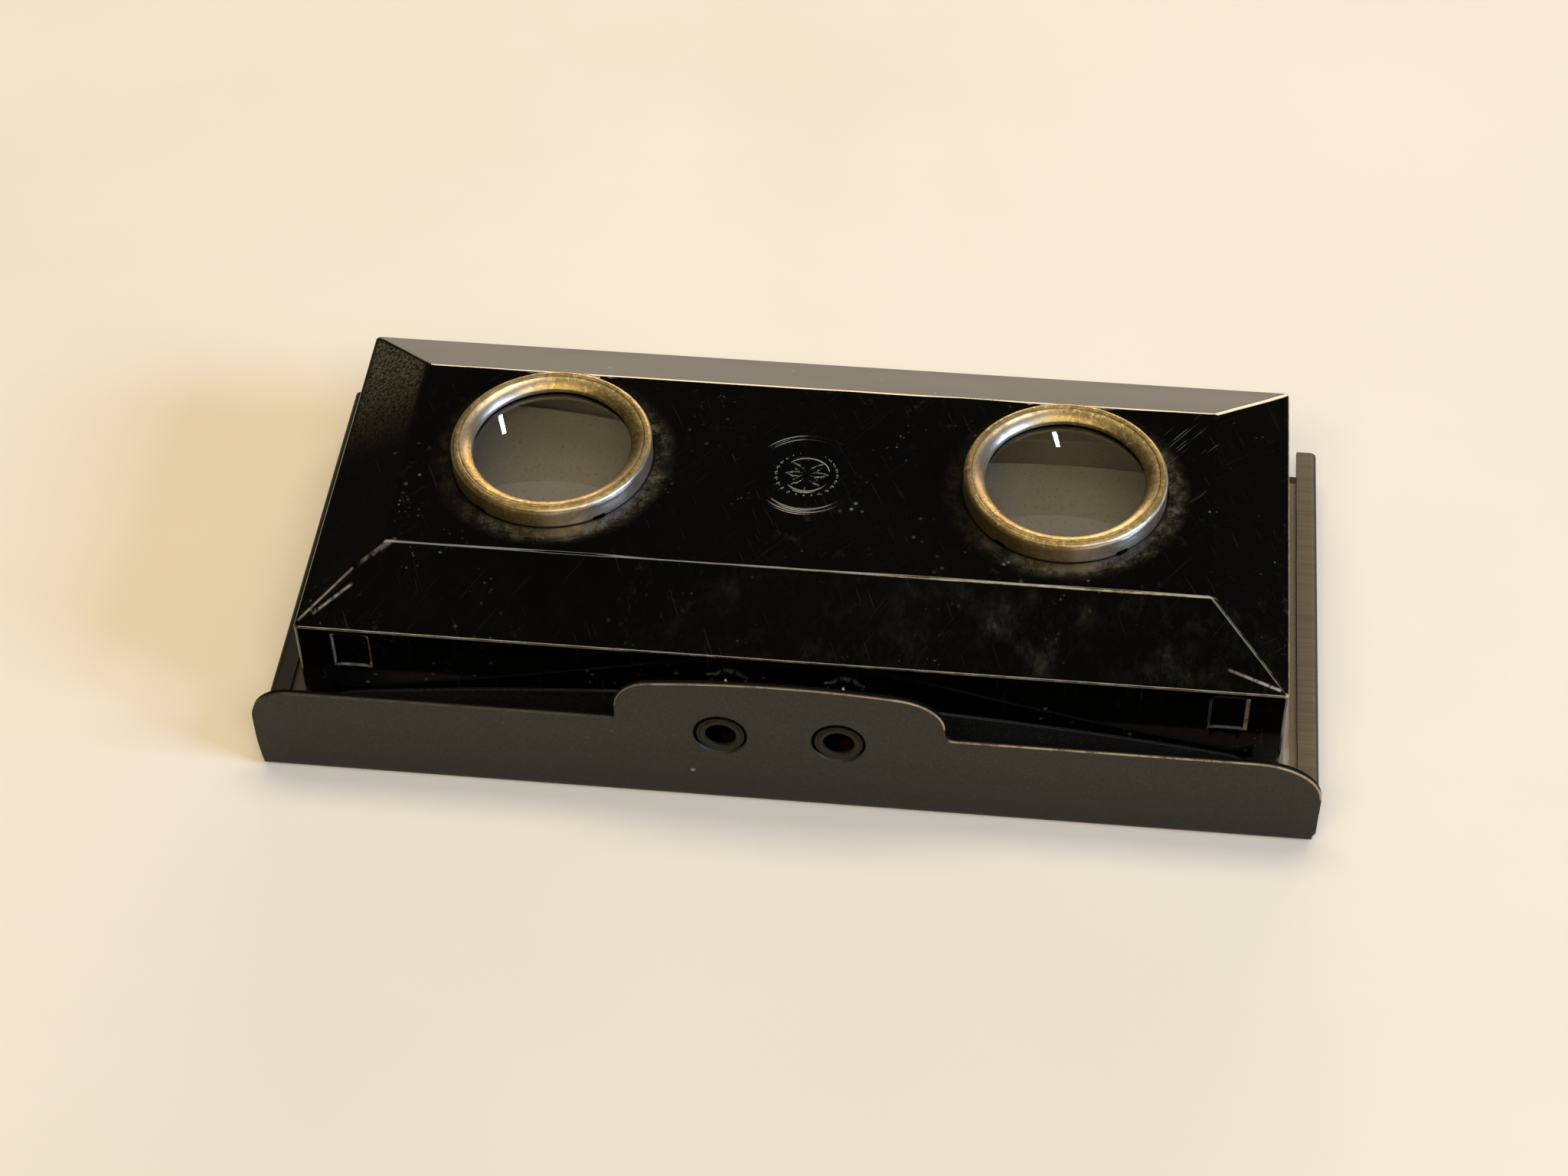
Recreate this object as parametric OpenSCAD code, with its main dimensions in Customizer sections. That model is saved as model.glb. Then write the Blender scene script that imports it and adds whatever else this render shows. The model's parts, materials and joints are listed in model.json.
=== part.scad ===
// Folding pocket stereoscope in lacquered sheet metal, shown folded shut.
// Origin: centre of the tray on the surface that it rests on. +X right, +Y away from the lip, +Z up.
// The front and back walls are each two leaves on hinge wires. They fold inwards, one wall over the other,
// and when they stand up they lift the cover straight up over the picture.

/* [Tray] */
// Length of the tray, across the two pictures
tray_w = 133; // [126:0.5:140]
// Depth of the tray, from the face of the lip to its open back edge
tray_d = 63.2; // [62:0.1:66]
// Thickness of the tray's sheet
sheet_t = 0.8; // [0.6:0.1:1]
// Radius of the sheet's bends, on the outside
bend_r = 1.2; // [1.1:0.1:1.5]
// Height of the lip along the front
lip_h = 14.1; // [12:0.1:15]
// Radius of the lip's upper corners
lip_r = 6; // [3:0.5:8]
// Width of the raised tab in the middle of the lip
tab_w = 40.6; // [36:0.2:48]
// Height of the tab's upper edge
tab_h = 21.7; // [20.5:0.1:23]
// Radius of the tab's upper corners
tab_r = 4.5; // [2:0.5:6]
// Radius of the gentle crown along the tab's upper edge
tab_crown_r = 140; // [80:10:400]
// Width of the flange that is folded over each end
flange_w = 2.7; // [2:0.1:3]
// Height of the slot that the glass slide goes in
slot_h = 3.2; // [3:0.1:3.4]

/* [Picture frame] */
// Thickness of the picture frame's sheet
frame_t = 0.8; // [0.6:0.1:1]
// Width of each picture window
window_w = 54; // [48:1:56]
// Depth of each picture window
window_d = 40; // [36:1:42]
// Radius of the windows' corners
window_r = 2; // [1:0.5:4]
// Ledge of tray floor that the ground glass lies on
glass_ledge = 2; // [1.5:0.5:3]
// Thickness of the ground glass
glass_t = 1; // [0.8:0.1:1]
// Width of one glass clip
clip_w = 4; // [3:0.5:6]
// Distance from the cover's back skirt to the frame's back edge beside the walls
ear_in = 2.7; // [2:0.1:4]

/* [Cover] */
// Length of the cover at its skirt
cover_w = 123; // [118:0.1:124]
// Depth of the cover at its skirt
cover_d = 53.6; // [52:0.1:54]
// Distance from the face of the lip to the cover's skirt
lip_gap = 7; // [6.8:0.1:7.5]
// Width of the sloping bevel along the long sides
bevel_d = 10.6; // [9:0.1:12]
// Width of the sloping bevel along the ends
bevel_w = 9.9; // [8:0.1:12]
// Height of the bevel's foot above the table
cover_foot_z = 18.8; // [18.8:0.1:20]
// Rise of the bevel
bevel_rise = 5.5; // [5:0.1:7]
// Thickness of the cover's sheet
cover_t = 0.8; // [0.6:0.1:0.8]
// Radius of the bend between bevel and skirt
cover_bend_r = 1.3; // [0.8:0.1:2]
// Width of the two catch recesses in the front skirt
catch_w = 4.6; // [3:0.2:6]
// Distance of the catch recesses from the middle
catch_x = 54.5; // [48:0.5:56]
// Height of the catch recesses
catch_h = 5.6; // [3:0.2:6]
// Depth of the catch recesses
catch_deep = 0.4; // [0.2:0.1:0.5]

/* [Lenses] */
// Distance between the two lens centres
eye_gap = 65.5; // [60:0.5:67]
// Distance of the lens centres behind the cover's middle
eye_back = 0.7; // [0:0.1:1.5]
// Outer radius of a lens ring
ring_r = 12.75; // [12.4:0.05:13.5]
// Radius of the opening that the eye looks through
eye_r = 10.1; // [9.5:0.1:10.2]
// Height of a lens ring above the cover
ring_h = 3; // [2.8:0.1:3.6]
// Radius of a lens
lens_r = 11.2; // [10.8:0.1:11.3]
// Radius of the curved face of a lens
lens_curve = 40; // [38:1:60]
// Thickness of a lens at its edge
lens_edge = 1.15; // [1:0.05:1.2]

/* [Folding walls] */
// Width of the folding walls
wall_w = 108; // [104:0.5:110]
// Length of one leaf, from hinge wire to hinge wire
leaf_l = 28.6; // [24:0.2:28.8]
// Thickness of a leaf
leaf_t = 0.7; // [0.5:0.05:0.7]
// Rise of a folded wall, from its lower hinge wire to its upper one
fold_rise = 4.4; // [4.2:0.1:4.5]
// How much higher the back wall is hinged than the front wall
layer_rise = 6; // [5.9:0.1:6.1]
// Height of the front wall's lower hinge wire above the picture frame
front_pin_rise = 2.35; // [2.3:0.05:2.5]
// Radius of a hinge wire
pin_r = 0.55; // [0.4:0.05:0.6]
// Outer radius of a rolled knuckle
knuckle_r = 1.2; // [1.1:0.05:1.25]
// Room between the cover's skirt and the knuckles of the walls
hinge_inset = 1.9; // [1.8:0.1:2.2]
// Number of knuckles along a hinge, an odd number
knuckle_n = 7; // [5:2:11]
// Width of the relief window under each lens in the back wall's upper leaf
relief_w = 26; // [20:1:28]
// Distance of the relief's inner edge from the hinge wire
relief_d = 13; // [10:0.5:16]

/* [Catch spring] */
// Distance between the two eyelets
eyelet_gap = 14.6; // [12:0.1:20]
// Height of the eyelets
eyelet_z = 12; // [11:0.1:13]
// Radius of the hole through an eyelet
eyelet_hole_r = 1.9; // [1.2:0.1:2]
// Wall of an eyelet's tube
eyelet_wall = 0.35; // [0.3:0.05:0.5]
// Number of points that an eyelet's end is split into
star_n = 8; // [5:1:9]
// Length of those points
star_l = 2.5; // [1.6:0.1:2.8]
// Length of the collars that hold the spring off the lip
collar_l = 2.8; // [2:0.1:2.9]
// Thickness of the spring
spring_t = 0.45; // [0.3:0.05:0.6]
// Distance of the spring's feet from the middle
foot_x = 55; // [50:0.5:56]
// Width of the spring in the middle
spring_mid_h = 6; // [5.4:0.2:7]
// Width of the spring at its feet
spring_end_h = 2.2; // [1.6:0.1:3.4]
// Height of the spring's feet above the picture frame
foot_rise = 0.5; // [0.3:0.1:2]

/* [Clearances] */
// Radial clearance of a hinge wire in a knuckle
pin_gap = 0.05; // [0.02:0.01:0.1]
// Radial clearance at the back wall's upper hinge
loose_pin_gap = 0.15; // [0.05:0.05:0.2]
// Clearance between neighbouring knuckles
knuckle_gap = 0.25; // [0.15:0.05:0.4]
// Clearance between moving faces
move_gap = 0.3; // [0.2:0.05:0.3]
// Clearance round a piece that is set into another
seat_gap = 0.1; // [0.05:0.05:0.15]

/* [Hidden] */
$fn = 48;
eps = 0.01;

// Levels of the tray and the picture frame
frame_z = sheet_t + slot_h;
frame_top = frame_z + frame_t;
lip_face_y = -tray_d / 2;
lip_back_y = lip_face_y + sheet_t;
end_x = tray_w / 2;

// Places of the cover
cover_y = lip_face_y + lip_gap + cover_d / 2;
skirt_in_y = cover_d / 2 - cover_t;
skirt_z = frame_top + move_gap;
panel_z = cover_foot_z + bevel_rise;
eye_y = cover_y + eye_back;

// Hinge lines: distance of the wires from the cover's middle, and their heights
hinge_y = skirt_in_y - hinge_inset - knuckle_r;
front_y = cover_y - hinge_y;
back_y = cover_y + hinge_y;
front_low_z = frame_top + front_pin_rise;
front_top_z = front_low_z + fold_rise;
back_low_z = front_low_z + layer_rise;
back_top_z = back_low_z + fold_rise;
fold_angle = asin(fold_rise / (2 * leaf_l));

// Leaves: the rolled knuckles stand a little proud of the sheet's outer face
roll_proud = 0.05;
sheet_out = knuckle_r - roll_proud;
leaf_cut = sqrt(pow(knuckle_r, 2) - pow(sheet_out - leaf_t, 2)) + move_gap;
bore_r = pin_r + pin_gap;
knuckle_pitch = wall_w / knuckle_n;
knuckle_l = knuckle_pitch - knuckle_gap;
strip_t = 0.5;
strip_reach = 2.6;
strip_foot_w = 3.4;
rib_w = 1.2;
rib_h = 0.3;
rib_r = 3;
rib_inset = 8;
relief_edge = leaf_cut + 2.6;

// Pin heads
head_proud = 0.35;
head_r = pin_r + head_proud;
head_t = 0.6;

// Picture windows and glass
window_x = eye_gap / 2;
window_y = cover_y;
glass_w = window_w;
glass_d = window_d;
clip_t = 0.35;
clip_foot = 1;

// Spring and eyelets
tube_r = eyelet_hole_r + eyelet_wall;
head_flange_w = 0.75;
head_flange_r = tube_r + head_flange_w;
collar_wall = 0.8;
dimple_deep = 0.45;
spring_y = lip_back_y + dimple_deep + collar_l;
foot_y = cover_y - cover_d / 2 - move_gap;
spring_flat = eyelet_gap / 2 + tube_r + 2;
foot_l = 3.2;
curl = 1.1;
star_lean = 30;
star_foot_share = 0.92;
star_tip_share = 0.24;

// Lenses and lens cells
lens_drop = sqrt(pow(lens_curve, 2) - pow(lens_r, 2));
lens_h = lens_edge + lens_curve - lens_drop;
pocket_h = lens_edge - lens_drop + sqrt(pow(lens_curve, 2) - pow(eye_r, 2)) + seat_gap;
rim_bend_r = 0.8;
rim_slope_w = 0.95;
rim_slope_h = 0.75;
seat_w = 2.2;
seat_h = 0.25;
seat_slope = 0.6;
ring_tab_w = 3;
ring_tab_t = 0.5;
tab_in_r = lens_r + 0.5;
ring_tab_foot = 1.8;
tab_angles = [30, 150, 270];
foot_cut_w = 1.6;
foot_cut_h = 0.45;
foot_cut_deep = 0.8;
catch_top = cover_foot_z - 0.9;
catch_r = 0.9;

// Extrudes a profile, drawn as depth by height, along X
module along_x(length) {
    rotate([90, 0, 90]) linear_extrude(length, center = true) children();
}

// Extrudes an outline, drawn as width by height, along Y, from y = 0 backwards
module along_y(depth) {
    translate([0, depth, 0]) rotate([90, 0, 0]) linear_extrude(depth) children();
}

// A rectangle with round corners, about its middle
module round_rect(w, d, r) {
    square([w, d - 2 * r], center = true);
    square([w - 2 * r, d], center = true);
    for (sx = [-1, 1], sy = [-1, 1])
        translate([sx * (w / 2 - r), sy * (d / 2 - r)]) circle(r);
}

// A quarter of a bend in sheet, in the plane of the profile, with its middle at the origin
module bend_profile(r, t) {
    intersection() {
        difference() {
            circle(r);
            circle(r - t);
        }
        translate([-r, -r]) square(r);
    }
}

// TRAY

// Plate of width w that stands on the bend and has round upper corners
module round_topped(w, top, r) {
    intersection() {
        translate([-w / 2, bend_r]) square([w, top - bend_r]);
        union() {
            translate([-w / 2, 0]) square([w, top - r]);
            translate([-w / 2 + r, 0]) square([w - 2 * r, top]);
            for (s = [-1, 1]) translate([s * (w / 2 - r), top - r]) circle(r);
        }
    }
}

// Outline of the lip and its tab, width by height
module lip_outline() {
    round_topped(tray_w, lip_h, lip_r);
    intersection() {
        translate([0, tab_h - tab_crown_r]) circle(tab_crown_r, $fn = 360);
        round_topped(tab_w, tab_h, tab_r);
    }
}

// Section of one end channel, drawn as width by height for the left end
module channel_profile() {
    top = frame_top + sheet_t;
    translate([bend_r, bend_r]) bend_profile(bend_r, sheet_t);
    translate([0, bend_r]) square([sheet_t, top - 2 * bend_r]);
    translate([bend_r, top - bend_r]) mirror([0, 1]) bend_profile(bend_r, sheet_t);
    translate([bend_r, top - sheet_t]) square([flange_w - bend_r, sheet_t]);
}

module tray_floor() {
    difference() {
        translate([-end_x + bend_r, lip_face_y + bend_r, 0])
            cube([tray_w - 2 * bend_r, tray_d - bend_r, sheet_t]);
        for (s = [-1, 1])
            translate([s * window_x, window_y, -eps])
                linear_extrude(sheet_t + 2 * eps)
                    round_rect(window_w - 2 * glass_ledge, window_d - 2 * glass_ledge, window_r);
    }
}

module tray() {
    channel_y = lip_back_y + bend_r - sheet_t;
    color("#2e2c29") difference() {
        union() {
            tray_floor();
            translate([0, lip_face_y + bend_r, bend_r]) along_x(tray_w) bend_profile(bend_r, sheet_t);
            translate([0, lip_face_y, 0]) along_y(sheet_t) lip_outline();
            for (s = [0, 1]) mirror([s, 0, 0])
                translate([-end_x, channel_y, 0]) along_y(tray_d / 2 - channel_y) channel_profile();
            for (s = [-1, 1])
                translate([s * eyelet_gap / 2, lip_back_y - eps, eyelet_z])
                    rotate([-90, 0, 0]) cylinder(h = dimple_deep + eps, r = head_flange_r + sheet_t);
        }
        for (s = [-1, 1]) translate([s * eyelet_gap / 2, lip_face_y, eyelet_z]) rotate([-90, 0, 0]) {
            translate([0, 0, -eps]) cylinder(h = dimple_deep + eps, r = head_flange_r + seat_gap);
            translate([0, 0, -eps]) cylinder(h = sheet_t + dimple_deep + 2 * eps, r = tube_r + pin_gap);
        }
    }
}

// Clips along the front and back edges of each pane
module glass_clips() {
    reach = glass_ledge - seat_gap;
    color("#3a3733")
    for (s = [-1, 1], k = [-1, 1], e = [0, 1])
        translate([s * window_x + k * glass_w / 4, window_y, sheet_t]) mirror([0, e, 0])
            translate([-clip_w / 2, glass_d / 2 + seat_gap, 0]) {
                cube([clip_w, clip_foot, glass_t + clip_t]);
                translate([0, -reach, glass_t]) cube([clip_w, reach + eps, clip_t]);
            }
}

module ground_glass(side) {
    color("#cfd3cf") translate([side * window_x, window_y, sheet_t])
        linear_extrude(glass_t) round_rect(glass_w, glass_d, window_r);
}

module ground_glass_left() { ground_glass(-1); }
module ground_glass_right() { ground_glass(1); }

// HINGES

// Runs its children at the middle of every second knuckle on the X axis: with first = 0 at the outer ones
module at_knuckles(first) {
    for (i = [first : 2 : knuckle_n - 1])
        translate([(i - (knuckle_n - 1) / 2) * knuckle_pitch, 0, 0]) children();
}

// Section of a rolled knuckle: the barrel round the wire, and the sheet that runs off it to +Y below the wire
module roll_profile(thick, reach, bore) {
    difference() {
        union() {
            circle(knuckle_r);
            translate([0, -sheet_out]) square([reach, thick]);
        }
        circle(bore);
    }
}

module leaf_knuckles(first, bore) {
    at_knuckles(first) along_x(knuckle_l) roll_profile(leaf_t, leaf_cut + eps, bore);
}

// A hinge wire with its two peened heads
module hinge_pin(y, z) {
    half = wall_w / 2 - knuckle_gap / 2;
    color("#8d8a84") translate([0, y, z]) rotate([0, 90, 0]) {
        cylinder(h = 2 * half + 2 * head_t, r = pin_r, center = true);
        for (s = [0, 1]) mirror([0, 0, s]) translate([0, 0, half]) cylinder(h = head_t, r = head_r);
    }
}

// One leaf with its sheet under the line from wire to wire. The near wire is at the origin, the far one at +Y;
// near and far say which knuckles the leaf has there.
module leaf(near, far, near_bore = bore_r) {
    translate([-wall_w / 2, leaf_cut, -sheet_out]) cube([wall_w, leaf_l - 2 * leaf_cut, leaf_t]);
    for (s = [-1, 1]) translate([s * wall_w / 4, leaf_l / 2, -sheet_out + leaf_t - eps]) leaf_rib();
    leaf_knuckles(near, near_bore);
    translate([0, leaf_l, 0]) mirror([0, 1, 0]) leaf_knuckles(far, bore_r);
}

// Pressed stiffening bead, a round-cornered frame on the leaf's inner face
module leaf_rib() {
    w = wall_w / 2 - rib_inset;
    d = leaf_l - 2 * leaf_cut - rib_inset;
    linear_extrude(rib_h + eps) difference() {
        round_rect(w, d, rib_r);
        round_rect(w - 2 * rib_w, d - 2 * rib_w, rib_r - rib_w);
    }
}

module front_lower_wall() {
    color("#35332f") translate([0, front_y, front_low_z]) rotate([fold_angle, 0, 0]) leaf(1, 0);
}

module front_upper_wall() {
    color("#3b3934") translate([0, front_y, front_top_z]) mirror([0, 0, 1])
        rotate([fold_angle, 0, 0]) leaf(1, 1);
}

module back_lower_wall() {
    color("#35332f") translate([0, back_y, back_low_z]) mirror([0, 1, 0])
        rotate([fold_angle, 0, 0]) leaf(1, 0);
}

// The upper leaf of the back wall lies right under the lenses, so it has a relief window below each
module back_upper_wall() {
    color("#3b3934") translate([0, back_y, back_top_z]) mirror([0, 1, 0]) mirror([0, 0, 1])
        rotate([fold_angle, 0, 0]) difference() {
            leaf(1, 1, pin_r + loose_pin_gap);
            for (s = [-1, 1]) translate([s * eye_gap / 2, (relief_d + relief_edge) / 2, -knuckle_r - 1])
                linear_extrude(2 * knuckle_r + 2)
                    round_rect(relief_w, relief_d - relief_edge, window_r);
        }
}

module front_base_pin() { hinge_pin(front_y, front_low_z); }
module back_base_pin() { hinge_pin(back_y, back_low_z); }
module front_cover_pin() { hinge_pin(front_y, front_top_z); }
module back_cover_pin() { hinge_pin(back_y, back_top_z); }

module front_middle_pin() {
    hinge_pin(front_y + leaf_l * cos(fold_angle), front_low_z + fold_rise / 2);
}

module back_middle_pin() {
    hinge_pin(back_y - leaf_l * cos(fold_angle), back_low_z + fold_rise / 2);
}

// PICTURE FRAME

module picture_frame() {
    front_edge = lip_back_y + seat_gap;
    back_edge = back_y + sheet_out;
    plate_w = tray_w - 2 * bend_r - 2 * seat_gap;
    ear_y = cover_y + cover_d / 2 - ear_in;
    color("#45423c") difference() {
        union() {
            translate([-plate_w / 2, front_edge, frame_z]) cube([plate_w, ear_y - front_edge, frame_t]);
            translate([-wall_w / 2, front_edge, frame_z]) cube([wall_w, back_edge - front_edge, frame_t]);
        }
        for (s = [-1, 1]) translate([s * window_x, window_y, frame_z - eps])
            linear_extrude(frame_t + 2 * eps) round_rect(window_w, window_d, window_r);
    }
}

// Hinge strip on the picture frame, with its wire on the X axis at height rise above the frame: rolled
// knuckles, an upright on the +Y side of the wire, and a foot that turns back under the wire
module frame_hinge(rise) {
    upright_h = rise - knuckle_r - move_gap;
    translate([-wall_w / 2, sheet_out, -rise]) mirror([0, 1, 0]) {
        cube([wall_w, strip_t, upright_h]);
        cube([wall_w, strip_foot_w, strip_t]);
    }
    at_knuckles(0) along_x(knuckle_l) mirror([1, 0]) rotate(-90) roll_profile(strip_t, rise - strip_t, bore_r);
}

module front_frame_hinge() {
    color("#3f3c36") translate([0, front_y, front_low_z]) mirror([0, 1, 0]) frame_hinge(front_pin_rise);
}

module back_frame_hinge() {
    color("#3f3c36") translate([0, back_y, back_low_z]) frame_hinge(back_low_z - frame_top);
}

// SPRING

// Front face of the spring, seen from above, for one half: flat, then a bow out to the foot
function spring_line(x) =
    spring_y + (foot_y - spring_t - spring_y) * sin(90 * (x - spring_flat) / (foot_x - spring_flat));

function curl_line(x) = foot_y - spring_t - curl * (1 - cos(90 * (x - foot_x) / foot_l));

module spring_plan() {
    steps = 10;
    run = [for (i = [0 : steps]) spring_flat + (foot_x - spring_flat) * i / steps];
    tip = [for (i = [1 : 4]) foot_x + foot_l * i / 4];
    half = concat([for (x = run) [x, spring_line(x)]], [for (x = tip) [x, curl_line(x)]]);
    n = len(half);
    line = concat([for (i = [n - 1 : -1 : 0]) [-half[i][0], half[i][1]]], half);
    polygon(concat(line, [for (i = [2 * n - 1 : -1 : 0]) line[i] + [0, spring_t]]));
}

// Side view of the spring: wide in the middle, tapering and dropping towards its feet
module spring_outline() {
    low = frame_top + foot_rise;
    right = [
        [spring_flat, eyelet_z + spring_mid_h / 2], [foot_x + foot_l, low + spring_end_h],
        [foot_x + foot_l, low], [spring_flat, eyelet_z - spring_mid_h / 2]
    ];
    polygon(concat(right, [for (i = [3 : -1 : 0]) [-right[i][0], right[i][1]]]));
}

module leaf_spring() {
    color("#2b2926") difference() {
        intersection() {
            linear_extrude(lip_h + spring_mid_h) spring_plan();
            translate([0, lip_back_y, 0]) along_y(lip_gap) spring_outline();
        }
        for (s = [-1, 1]) translate([s * eyelet_gap / 2, spring_y - 1, eyelet_z])
            rotate([-90, 0, 0]) cylinder(h = spring_t + 2, r = tube_r + pin_gap);
    }
}

module spring_collars() {
    color("#4a4741") for (s = [-1, 1])
        translate([s * eyelet_gap / 2, lip_back_y + dimple_deep, eyelet_z]) rotate([-90, 0, 0])
            difference() {
                cylinder(h = collar_l, r = tube_r + collar_wall);
                translate([0, 0, -1]) cylinder(h = collar_l + 2, r = tube_r + pin_gap);
            }
}

// A hollow rivet: head in the dimple of the lip, and an end that is split into points which are bent out over
// the spring
module eyelet() {
    star_lift = eyelet_wall * cos(star_lean);
    barrel = spring_y + spring_t + star_lift - lip_face_y;
    difference() {
        union() {
            translate([0, 0, seat_gap]) cylinder(h = barrel - seat_gap, r = tube_r);
            translate([0, 0, seat_gap]) cylinder(h = dimple_deep - seat_gap, r = head_flange_r);
        }
        translate([0, 0, -1]) cylinder(h = barrel + 2, r = eyelet_hole_r);
        translate([0, 0, seat_gap - eps])
            cylinder(h = eyelet_wall, r1 = eyelet_hole_r + eyelet_wall, r2 = eyelet_hole_r);
    }
    for (i = [0 : star_n - 1]) rotate([0, 0, 360 * (i + 0.5) / star_n])
        translate([0, eyelet_hole_r + star_lift / 2, barrel]) rotate([-90 + star_lean, 0, 0])
            mirror([0, 1, 0]) star_point();
}

// One pointed tongue, standing along +Z, with its foot at the origin
module star_point() {
    foot_w = 2 * eyelet_hole_r * tan(180 / star_n) * star_foot_share;
    tip_w = foot_w * star_tip_share;
    rotate([90, 0, 0]) linear_extrude(eyelet_wall)
        polygon([[-foot_w / 2, 0], [foot_w / 2, 0], [tip_w / 2, star_l], [-tip_w / 2, star_l]]);
}

module spring_eyelets() {
    color("#5a4a38") for (s = [-1, 1])
        translate([s * eyelet_gap / 2, lip_face_y, eyelet_z]) rotate([-90, 0, 0]) eyelet();
}

// COVER

// Section of the cover as half width by height, set in by inset, with the bevel from foot to top
function cover_section(half, bevel, inset, bottom) =
    let (
        slope = atan(bevel_rise / bevel),
        foot = half - inset,
        turn = 90 - slope,
        foot_z = cover_foot_z - inset * tan(turn / 2),
        top_x = half - bevel - inset * tan(slope / 2),
        r = max(0.2, cover_bend_r - inset),
        back_off = r * tan(turn / 2),
        arc = [for (i = [0 : 4]) let (a = turn * i / 4)
            [foot - r + r * cos(a), foot_z - back_off + r * sin(a)]]
    )
    concat([[foot, bottom]], arc, [[top_x, panel_z - inset]]);

module cover_profile(half, bevel, inset, bottom) {
    right = cover_section(half, bevel, inset, bottom);
    n = len(right);
    polygon(concat(right, [for (i = [n - 1 : -1 : 0]) [-right[i][0], right[i][1]]]));
}

// The cover's outer form, or with an inset its hollow
module cover_form(inset, bottom) {
    intersection() {
        along_x(cover_w + 2) cover_profile(cover_d / 2, bevel_d, inset, bottom);
        translate([0, -cover_d / 2 - 1, 0]) along_y(cover_d + 2)
            cover_profile(cover_w / 2, bevel_w, inset, bottom);
    }
}

module cover() {
    color("#15140f") translate([0, cover_y, 0]) difference() {
        union() {
            difference() {
                cover_form(0, skirt_z);
                cover_form(cover_t, skirt_z - 1);
            }
            for (s = [-1, 1]) translate([s * eye_gap / 2, eye_back, panel_z]) ring_seat();
        }
        for (s = [-1, 1]) {
            translate([s * eye_gap / 2, eye_back, panel_z]) lens_hole();
            translate([s * catch_x - catch_w / 2, -cover_d / 2 - eps, catch_top - catch_h])
                catch_recess();
        }
    }
}

// Low embossed seat around a lens ring
module ring_seat() {
    rotate_extrude() polygon([
        [ring_r + seat_gap, -eps], [ring_r + seat_w, -eps],
        [ring_r + seat_w - seat_slope, seat_h], [ring_r + seat_gap, seat_h]
    ]);
}

// Lens hole with the slots for the ring's tabs
module lens_hole() {
    translate([0, 0, -cover_t - 1]) cylinder(h = cover_t + 2, r = eye_r + seat_gap);
    for (a = tab_angles) rotate([0, 0, a])
        translate([tab_in_r - seat_gap, -ring_tab_w / 2 - seat_gap, -cover_t - 1])
            cube([ring_tab_t + 2 * seat_gap, ring_tab_w + 2 * seat_gap, cover_t + 2]);
}

module catch_recess() {
    along_y(catch_deep + eps) translate([catch_w / 2, catch_h / 2]) round_rect(catch_w, catch_h, catch_r);
}

// Hinge strip with its wire on the X axis: knuckles whose sheet runs off above the wire to the cover's skirt on
// the +Y side, and a leg that is soldered to the skirt
module hinge_strip() {
    web_y = knuckle_r + move_gap;
    skirt_y = knuckle_r + hinge_inset;
    web_z = sheet_out - strip_t;
    translate([-wall_w / 2, web_y, web_z]) cube([wall_w, skirt_y - web_y, strip_t]);
    translate([-wall_w / 2, skirt_y - strip_t, web_z]) cube([wall_w, strip_t, strip_reach]);
    at_knuckles(0) along_x(knuckle_l) mirror([0, 1]) roll_profile(strip_t, web_y + eps, bore_r);
}

module front_hinge_strip() {
    color("#26241f") translate([0, front_y, front_top_z]) mirror([0, 1, 0]) hinge_strip();
}

module back_hinge_strip() {
    color("#26241f") translate([0, back_y, back_top_z]) mirror([0, 0, 1]) hinge_strip();
}

// LENSES

// Section of a ring: a straight wall, a rolled rim that slopes in to the opening, and a pocket for the lens
module ring_profile() {
    pocket_r = lens_r + seat_gap;
    ridge_z = ring_h - rim_bend_r;
    translate([ring_r - rim_bend_r, ridge_z]) circle(rim_bend_r);
    polygon([
        [pocket_r, 0], [ring_r, 0], [ring_r, ridge_z], [ring_r - rim_bend_r, ridge_z],
        [ring_r - rim_bend_r, ring_h], [eye_r + rim_slope_w, ring_h], [eye_r, ring_h - rim_slope_h],
        [eye_r, pocket_h], [pocket_r, pocket_h]
    ]);
}

module lens_ring(side) {
    color("#a39c8c") translate([side * eye_gap / 2, eye_y, panel_z]) {
        difference() {
            rotate_extrude() ring_profile();
            for (i = [0 : 4]) rotate([0, 0, 72 * i + 18])
                translate([ring_r - foot_cut_deep, -foot_cut_w / 2, -eps]) cube([2, foot_cut_w, foot_cut_h]);
        }
        for (a = tab_angles) rotate([0, 0, a]) translate([tab_in_r, -ring_tab_w / 2, -cover_t - ring_tab_t]) {
            cube([ring_tab_t, ring_tab_w, cover_t + ring_tab_t + eps]);
            cube([ring_tab_t + ring_tab_foot, ring_tab_w, ring_tab_t]);
        }
    }
}

// Plano-convex lens, flat face down on the cover
module lens(side) {
    color("#dfe6e4") translate([side * eye_gap / 2, eye_y, panel_z]) intersection() {
        cylinder(h = lens_h + eps, r = lens_r);
        translate([0, 0, lens_edge - lens_drop]) sphere(lens_curve, $fn = 96);
    }
}

module lens_ring_left() { lens_ring(-1); }
module lens_ring_right() { lens_ring(1); }
module lens_left() { lens(-1); }
module lens_right() { lens(1); }

tray();
picture_frame();
front_frame_hinge();
back_frame_hinge();
leaf_spring();
spring_eyelets();
spring_collars();
ground_glass_left();
ground_glass_right();
glass_clips();
front_base_pin();
back_base_pin();
front_lower_wall();
front_middle_pin();
front_upper_wall();
back_lower_wall();
back_middle_pin();
back_upper_wall();
cover();
front_hinge_strip();
back_hinge_strip();
front_cover_pin();
back_cover_pin();
lens_ring_left();
lens_ring_right();
lens_left();
lens_right();
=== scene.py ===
"""Looks of a folding pocket stereoscope in black lacquered sheet metal, on a pale table."""

import json
from math import copysign, cos, degrees, hypot, pi, radians, sin, sqrt, tan

import bmesh
import bpy
from mathutils import Matrix, Vector, noise
from mathutils.geometry import delaunay_2d_cdt


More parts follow.
